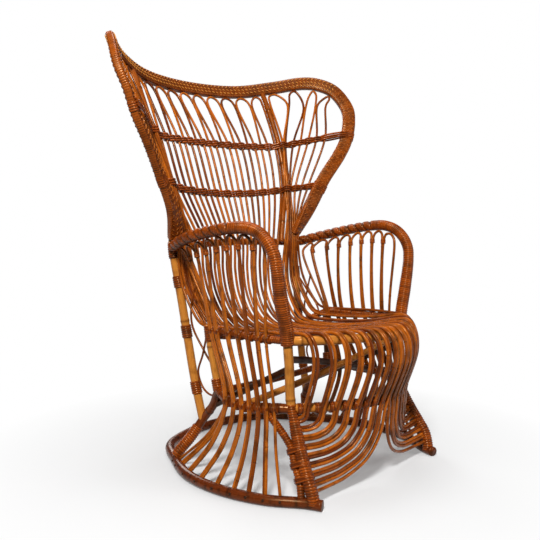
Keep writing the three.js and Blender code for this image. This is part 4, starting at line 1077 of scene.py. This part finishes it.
rim_line = Line(whole_rim)
corner_angles = 2 * math.pi * (np.arange(RIM_AROUND) + 0.5) / RIM_AROUND
ways = np.stack([np.cos(corner_angles), np.sin(corner_angles)], axis=-1)
outline = np.sign(ways) * np.abs(ways) ** RIM_SQUARENESS * (RIM_WIDTH / 2, RIM_THICKNESS / 2)
outline_outward = outline / np.linalg.norm(outline, axis=1)[:, None]
across, high = outline.T
face = np.clip((np.abs(high) / (RIM_THICKNESS / 2) - RIM_FACE_SHARE) / RIM_FACE_BLEND, 0, 1)
row = (across / RIM_WIDTH + 0.5) * PLAIT_ROWS
way = np.where(np.floor(row) % 2 == 0, 1, -1)
band_lengths = np.arange(0, rim_line.length, RIM_STEP)


def rim_skin(mesh, lengths, surface):
    """A skin round the rim. surface gives how far each ring is raised, its grain and its marks."""
    rows = []
    for length in lengths:
        raised, grain, marks = surface(length)
        edge, _, inward, normal = rim_frame(float(rim_line.station(length)))
        shape = outline + outline_outward * np.reshape(raised, (-1, 1))
        ring = edge + inward * RIM_WIDTH / 2 + shape[:, :1] * inward + shape[:, 1:] * normal
        data = np.array([[np.broadcast_to(v, RIM_AROUND) for v in values] for values in (grain, marks)])
        rows.append((ring, *data.transpose(0, 2, 1)))
    return mesh.grid(*(np.array(part) for part in zip(*rows)))


def plaited(length):
    strip = (length + way * across) / PLAIT_PITCH
    plait = np.maximum(grooves(strip, PLAIT_FLAT), ROW_DEPTH * grooves(row, ROW_FLAT))
    # the plait's grooves also take painted shade, through the groove mark
    groove = face * plait + (1 - face) * grooves(length / PEEL_PITCH, PLAIT_FLAT)
    bands = scatter(np.floor(strip), row.astype(int))
    crown = np.clip(len(CROWN_SHARES) - abs(rim_line.station(length) - CROWN_STATION), 0, 1)
    on_wing, on_crown, on_edge = (least + spread * bands for least, spread in RIM_TONES)
    tone = face * mix(on_wing, on_crown, crown) + (1 - face) * on_edge
    return -PEEL_RAISE * groove, (across * 1.4, high + 30 * np.floor(strip), length), (tone, 0, groove)


def collared(length):
    """Turns of peel round the rim, where a woven band is tied to it."""
    groove = grooves(length / COLLAR_PITCH, 0.4) ** 1.3
    # the grooves between the collar's turns take painted shade, through the groove mark
    return COLLAR_RAISE * (1 - groove), (across, length, high), (0.35, 0, groove)


def build_stitches():
    stitches = Mesh()
    for length in np.arange(STITCH_SPACING, rim_line.length - STITCH_SPACING, STITCH_SPACING):
        station = float(rim_line.station(length))
        edge, tangent, inward, normal = rim_frame(station)
        on_wing = abs(station - CROWN_STATION) > len(CROWN_SHARES) - 1
        radius, tone = WING_STITCH if on_wing else CROWN_STITCH
        for share in STITCH_ROWS:
            slant = STITCH_SLANT if share < 0.5 else -STITCH_SLANT
            along = unit(tangent + inward * slant) * STITCH_REACH
            for out in (-normal, normal):
                middle = edge + inward * RIM_WIDTH * share + out * (RIM_THICKNESS / 2 - STITCH_SINK)
                ends = [middle - along, middle + out * STITCH_RISE, middle + along]
                stitches.cane(ends, radius, sides=6, step=1.6, tone=tone, swell=0)
    stitches.build("rim_stitches", STITCH, "wrap")


rim_skin(Mesh(), band_lengths, plaited).build("rim_band", RIM, "wrap", "back_rim")
collars = Mesh()
for cross in (upper, lower):
    end = cross.line.point(cross.line.length)
    for turn in SIDES.values():
        apart = np.linalg.norm(rim_line.point(band_lengths) - end * (turn, 1, 1), axis=1)
        middle = band_lengths[np.argmin(apart)]
        lengths = np.arange(middle - COLLAR_LENGTH / 2, middle + COLLAR_LENGTH / 2, COLLAR_STEP)
        rim_skin(collars, lengths, collared)
collars.build("rim_collars", PEEL, "wrap")
build_stitches()

# Canes of the back, seat and skirt
CANE_TONES = {
    "left": (0.1, 0.7, 0.25, 0.95, 0.15, 0.55, 0.05, 0.85, 0.35),
    "right": (0.45, 0.05, 0.8, 0.2, 0.6, 0.1, 0.9, 0.3, 0.7),
}
POINTS_BELOW_SEAT = len(SKIRT_SHARES) + 1 + len(ROLL_SHARES)


def loop_radii(loop, count):
    """Radius at each point of a hairpin: thicker over the skirt, where the last one has only one end."""
    from_foot = np.arange(count)
    if loop < RIM_LOOPS:
        from_foot = np.minimum(from_foot, from_foot[::-1])
    return np.where(from_foot < POINTS_BELOW_SEAT, SHOWN_SKIRT_CANE_RADIUS, SHOWN_CANE_RADIUS)


for side in SIDES:
    for loop, tone in enumerate(CANE_TONES[side], 1):
        points = loop_points(loop)
        mesh = Mesh(side, loop).cane(points, loop_radii(loop, len(points)), tone=tone)
        mesh.build("cane", CANE, "cane", "back_loop")

# Woven bands: rows of two reeds that cross between the canes, one before and one behind each
REED_RADIUS = 3.1
REED_ROWS = (-7.4, 0, 7.4)
REED_SHIFT = 1.5
REED_REACH_SHARE = 0.8
for label, cross in (("upper", upper), ("lower", lower)):
    for number, phase in ((1, -1), (2, 1)):
        mesh = Mesh(number=number)
        left = [(*mirrored(stop[:3], -1), stop[3]) for stop in strand_stops(cross, -phase)]
        whole = left[::-1] + strand_stops(cross, phase)
        for rise in REED_ROWS:
            lift = rise + phase * REED_SHIFT
            path = [
                place + down * lift + facing * reach * REED_REACH_SHARE
                for place, down, facing, reach in whole
            ]
            mesh.cane(path, REED_RADIUS, sides=8, step=3, tone=rng.uniform(0.2, 0.9), swell=0.05)
        mesh.build(f"{label}_reeds", PEEL, "wrap", f"{label}_strand")

# Arms with their posts and struts: wound with peel, bare under the seat
BARE_TOP_HEIGHT = 384
BARE_END_HEIGHT = 238
BARE_OVERLAP = 6
ARM_BEND_POINT = 3  # of the arm's points, where the furrows end
ARM_ROPE = (30, -2, 3.2)
STRUT_LOOK = {"pitch": 6.5, "raise_by": 1.8}
STRUT_WRAP_RAISE = 1
WRAP_OVERLAP = 2
STRUT_TIE_SHARES = (0.45, 0.6, 0.75)
whole_arm = Line(arm_points)
bend = Line(arm_points[: ARM_BEND_POINT + 1]).length
bare_top = whole_arm.length * share_at_height(arm_points, BARE_TOP_HEIGHT)
bare_end = whole_arm.length * share_at_height(arm_points, BARE_END_HEIGHT)
bare = [whole_arm.point(d) for d in np.linspace(bare_top - BARE_OVERLAP, bare_end + BARE_OVERLAP, 9)]
for side in SIDES:
    mesh = Mesh(side)
    mesh.wound(arm_points, arm_radii, 0, bend, pitch=6, raise_by=1.4, sides=24, tone=0.3, rope=ARM_ROPE)
    start = bend - WRAP_OVERLAP
    mesh.wound(arm_points, arm_radii, start, bare_top, pitch=5.6, raise_by=1.5, sides=20, tone=0.3)
    strut_radii = [radius + STRUT_WRAP_RAISE for radius in arm_radii]
    mesh.wound(arm_points, strut_radii, bare_end, sides=20, tone=0.5, **STRUT_LOOK)
    mesh.build("arm_winding", PEEL, "pole", "arm_pole")
    ties = Mesh(side)
    for length in (strut.length * share for share in STRUT_TIE_SHARES):
        pole = strut.point(length)
        ties.tie(pole, pole + behind_strut, strut.tangent(length), FOOT_RADIUS, FOOT_BRACE_RADIUS)
    ties.build("strut_ties", PEEL, "wrap")
    Mesh(side).cane(bare, POST_RADIUS, sides=20, tone=0.25).build("post_bare", POLE, "pole")

# Rear legs with their bindings, the poles that they stand on, and the ties on poles and rails
LEG_BINDINGS = ((604, 46), (515, 34), (375, 37), (217, 37))  # heights and lengths
FOOT_BINDING_SHARES = (0.79, 0.97)  # of the side pole's length
FOOT_BINDING_RADIUS = SIDE_POLE_RADIUS + 4


def build_pole_ties(side, turn):
    ties = Mesh(side)
    for _, _, over_rail, waist_share, _ in ARM_PLACES:
        ties.tie_to(side_pole_points, SIDE_POLE_RADIUS, waist_place(waist_share, over_rail), 300)
    for _, seat_share, over_rail, _, _ in ARM_PLACES[2:]:
        ties.tie_to(side_rail_points, SEAT_RAIL_RADIUS, seat_places(seat_share, over_rail)[0], 200)
    for pair in range(1, pair_of(OUTERMOST) + 1):
        x = (across_front(2 * pair - 0.5) + across_front(2 * pair + 0.5)) / 2
        pole = vec(x, bowed_depth(x, WAIST_HALF_WIDTH, WAIST_BOW), WAIST_HEIGHT)
        away = vec(2 * WAIST_BOW * x / WAIST_HALF_WIDTH ** 2, -1, 0)
        beside = pole + unit(away) * RAIL_TO_CANE
        ties.tie(pole, beside, np.cross(away, UP) * turn, FRONT_RAIL_RADIUS, SHOWN_CANE_RADIUS)
    ties.build("pole_ties", PEEL, "wrap")


for side, turn in SIDES.items():
    leg = Mesh(side).cane(rear_leg_points, REAR_LEG_RADIUS, sides=20, tone=0.3, spacing=(150, 260))
    leg.build("leg", POLE, "pole", "rear_leg")
    wraps = Mesh(side)
    for height, length in LEG_BINDINGS:
        share = share_at_height(rear_leg_points, height)
        wraps.binding(rear_leg_points, REAR_LEG_RADIUS + BINDING_RAISE, share, length, 0.6)
    wraps.build("leg_bindings", PEEL, "wrap")
    pole = Mesh(side).cane(side_pole_points, SIDE_POLE_RADIUS, sides=18, tone=0.9, spacing=(90, 150))
    pole.build("waist_rod", CANE, "wrap", "waist_pole")
    start, end = (Line(side_pole_points).length * share for share in FOOT_BINDING_SHARES)
    foot = Mesh(side)
    foot.wound(side_pole_points, FOOT_BINDING_RADIUS, start, end, sides=20, tone=0.3, **STRUT_LOOK)
    foot.build("rear_foot_binding", PEEL, "wrap")
    build_pole_ties(side, turn)

# Short rear posts, inner poles, rails and braces
POST_BINDINGS = ((0.12, 44, BINDING_RAISE), (0.93, 46, 5))  # share, length and how far it stands out
for side, turn in SIDES.items():
    # painted shade: the right rear post and cross brace get the shaded copy of the pole colour, the left ones
    # the lit honey colour
    lit_or_painted_shade = POLE if side == "left" else PAINTED_SHADE_POLE
    post = Mesh(side).cane(rear_pole_points, REAR_POLE_RADIUS, sides=18, tone=0.2)
    post.build("rear_post", lit_or_painted_shade, "pole", "rear_pole")
    wraps = Mesh(side)
    for share, length, raised in POST_BINDINGS:
        wraps.binding(rear_pole_points, REAR_POLE_RADIUS + raised, share, length, 0.55)
    wraps.build("rear_post_bindings", PEEL, "wrap")
    pole = Mesh(side).cane(inner_pole_points, SHOWN_INNER_POLE_RADIUS, sides=18, tone=0.6, spacing=(190, 300))
    pole.build("back_pole", CANE, "pole", "inner_pole")
    Mesh(side).wound(side_rail_points, SEAT_RAIL_RADIUS).build("seat_side", PEEL, "wrap", "side_seat_rail")
    for label, material, points in (
        # the side braces under the seat take the painted shade colour too
        ("cross_brace", lit_or_painted_shade, cross_brace_points(turn)), ("side_brace", PAINTED_SHADE_POLE, side_brace_points),
    ):
        brace = Mesh(side).cane(points, BRACE_RADIUS, sides=16, tone=0.5)
        brace.build(f"{label}_rod", material, "pole", label)
    brace = Mesh(side).wound(foot_brace_points, FOOT_BRACE_RADIUS, tone=0.4, **STRUT_LOOK)
    brace.build("foot_brace_rod", PEEL, "pole", "foot_brace")

Mesh().wound(back_rail_points(), BACK_RAIL_RADIUS).build("lower_back_rail", PEEL, "wrap", "back_rail")
for label, points, tone in (
    ("seat", bowed_rail(POST_HALF_WIDTH, SEAT_BOW, SEAT_HEIGHT), 0.3),
    ("waist", bowed_rail(WAIST_HALF_WIDTH, WAIST_BOW, WAIST_HEIGHT), 0.5),
):
    rail = Mesh().cane(points, FRONT_RAIL_RADIUS, sides=18, tone=tone, spacing=(80, 150))
    rail.build(f"{label}_front_rail", POLE, "wrap", f"front_{label}_rail")
for label, points, tone in (("seat", rear_seat_rail_points(), 0.6), ("waist", rear_waist_points, 0.7)):
    rail = Mesh().wound(points, SEAT_RAIL_RADIUS, tone=tone)
    rail.build(f"{label}_rear_rail", PEEL, "wrap", f"rear_{label}_rail")

# Arm panels
SLEEVE_LOOK = {"pitch": 3.6, "raise_by": 1.1, "sides": 14, "tone": 0.2}
for side in SIDES:
    canes = Mesh(side)
    for loop in range(1, ARM_LAST + 1):
        canes.cane(arm_loop(loop), SHOWN_ARM_CANE_RADIUS, tone=rng.uniform(0, 0.85))
    canes.build("arm_canes", ARM_CANE, "cane", "arm_panel")
    sleeves = Mesh(side)
    for pair in range(1, ARM_LAST):
        top, below = place_centre(pair)[:2]
        down = unit(below - top) * PAIR_BINDING_LENGTH
        sleeves.wound([top, top + down / 2, top + down], PAIR_BINDING_RADIUS, **SLEEVE_LOOK)
    sleeves.build("pair_bindings", PEEL, "wrap")
    hairpin = Mesh(side).cane(thin_cane_points(), THIN_CANE_RADIUS, tone=0.7)
    hairpin.build("hairpin", CANE, "cane", "thin_cane")

# Floor hoop with its pegs
PEG_RADIUS = 3.2
PEG_REACHES = (-6, -2, 0.8)  # from the skin of the hoop outwards
PEG_TILT = 0.3
hoop = Mesh().cane(hoop_whole, HOOP_LEVEL, sides=24, step=5, tone=0.3, swell=0, spacing=(110, 190))
hoop.build("hoop", FOOT, "foot", "floor_hoop")
pegs = Mesh()
for turn in SIDES.values():
    for _, _, _, _, station in ARM_PLACES:
        centre, along = mirrored([on_hoop(station), Curve(hoop_half).tangent(station)], turn)
        across_hoop = unit(np.cross(along, UP))
        out = unit(across_hoop * math.copysign(1, across_hoop[0] * turn) + UP * PEG_TILT)
        places = [centre + out * (HOOP_RADIUS + reach) for reach in PEG_REACHES]
        pegs.cane(places, PEG_RADIUS, step=1.5, swell=0)
pegs.build("hoop_pegs", PEG, "foot")

# Floor: pale, and white at some distance, for the camera and for reflections
FLOOR_HALF = 30
FLOOR_PALE = 0.62
FLOOR_FADE = (0.28, 0.95, 0.12, 1)  # distances in metres and the share of white at each
floor_mesh = bpy.data.meshes.new("floor")
corners = [(x * FLOOR_HALF, y * FLOOR_HALF, 0) for x, y in ((-1, -1), (1, -1), (1, 1), (-1, 1))]
floor_mesh.from_pydata(corners, [], [(0, 1, 2, 3)])
floor = linked("floor", floor_mesh)
floor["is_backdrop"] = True
floor_material = bpy.data.materials.new("floor")
floor_material.use_nodes = True
tree = floor_material.node_tree
tree.nodes.clear()
diffuse = node(tree, "ShaderNodeBsdfDiffuse", {"Color": (FLOOR_PALE, FLOOR_PALE, FLOOR_PALE, 1)})
rays = node(tree, "ShaderNodeLightPath", {}).outputs
seen = node(
    tree, "ShaderNodeMath", {0: rays["Is Camera Ray"], 1: rays["Is Glossy Ray"]}, operation="MAXIMUM",
)
white = node(tree, "ShaderNodeEmission", {"Strength": seen.outputs[0]})
distance = node(tree, "ShaderNodeVectorMath", {0: place_of(tree)}, operation="LENGTH").outputs["Value"]
fade = ranged(tree, distance, *FLOOR_FADE)
blend = node(tree, "ShaderNodeMixShader", {0: fade, 1: diffuse.outputs[0], 2: white.outputs[0]})
node(tree, "ShaderNodeOutputMaterial", {"Surface": blend.outputs[0]})
floor_mesh.materials.append(floor_material)

# Light: a dim world that the camera sees as white, and four lamps
WORLD_LIGHT = 0.08
world = bpy.data.worlds.new("world")
bpy.context.scene.world = world
world.use_nodes = True
tree = world.node_tree
is_camera = node(tree, "ShaderNodeLightPath", {}).outputs["Is Camera Ray"]
strength = ranged(tree, is_camera, 0, 1, WORLD_LIGHT, 1)
feed(tree, tree.nodes["Background"], {"Color": (1, 1, 1, 1), "Strength": strength})


def area_light(name, place, target_height, size, power):
    data = bpy.data.lights.new(name, "AREA")
    data.shape = "DISK"
    data.size = size
    data.energy = power
    light = linked(name, data)
    light.location = place
    x, y, z = vec(0, 0, target_height) - place
    light.rotation_euler = (math.atan2(math.hypot(x, y), -z), 0, math.atan2(y, x) - math.pi / 2)


area_light("key", (-2.4, -1.6, 2.9), 0.5, 0.7, 182)
area_light("fill", (1.2, -2.8, 1.7), 0.4, 1.0, 26)
area_light("top", (0.2, 0.4, 3.2), 0.3, 1.4, 36)
area_light("back", (1.2, 2.6, 1.8), 0.6, 1.6, 38)

# Camera, with its angles in degrees
CAMERA_PLACE = (-1.5464, -1.3657, 0.7)
CAMERA_LENS = 46.89
CAMERA_HEADING = 42.25
CAMERA_PITCH = 4.37
camera_data = bpy.data.cameras.new("camera")
camera_data.sensor_width = 36
camera_data.lens = CAMERA_LENS
camera = linked("camera", camera_data)
camera.location = CAMERA_PLACE
camera.rotation_euler = (math.radians(90 - CAMERA_PITCH), 0, math.radians(CAMERA_HEADING - 90))
bpy.context.scene.camera = camera
bpy.context.scene.view_settings.view_transform = "Standard"

low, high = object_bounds()
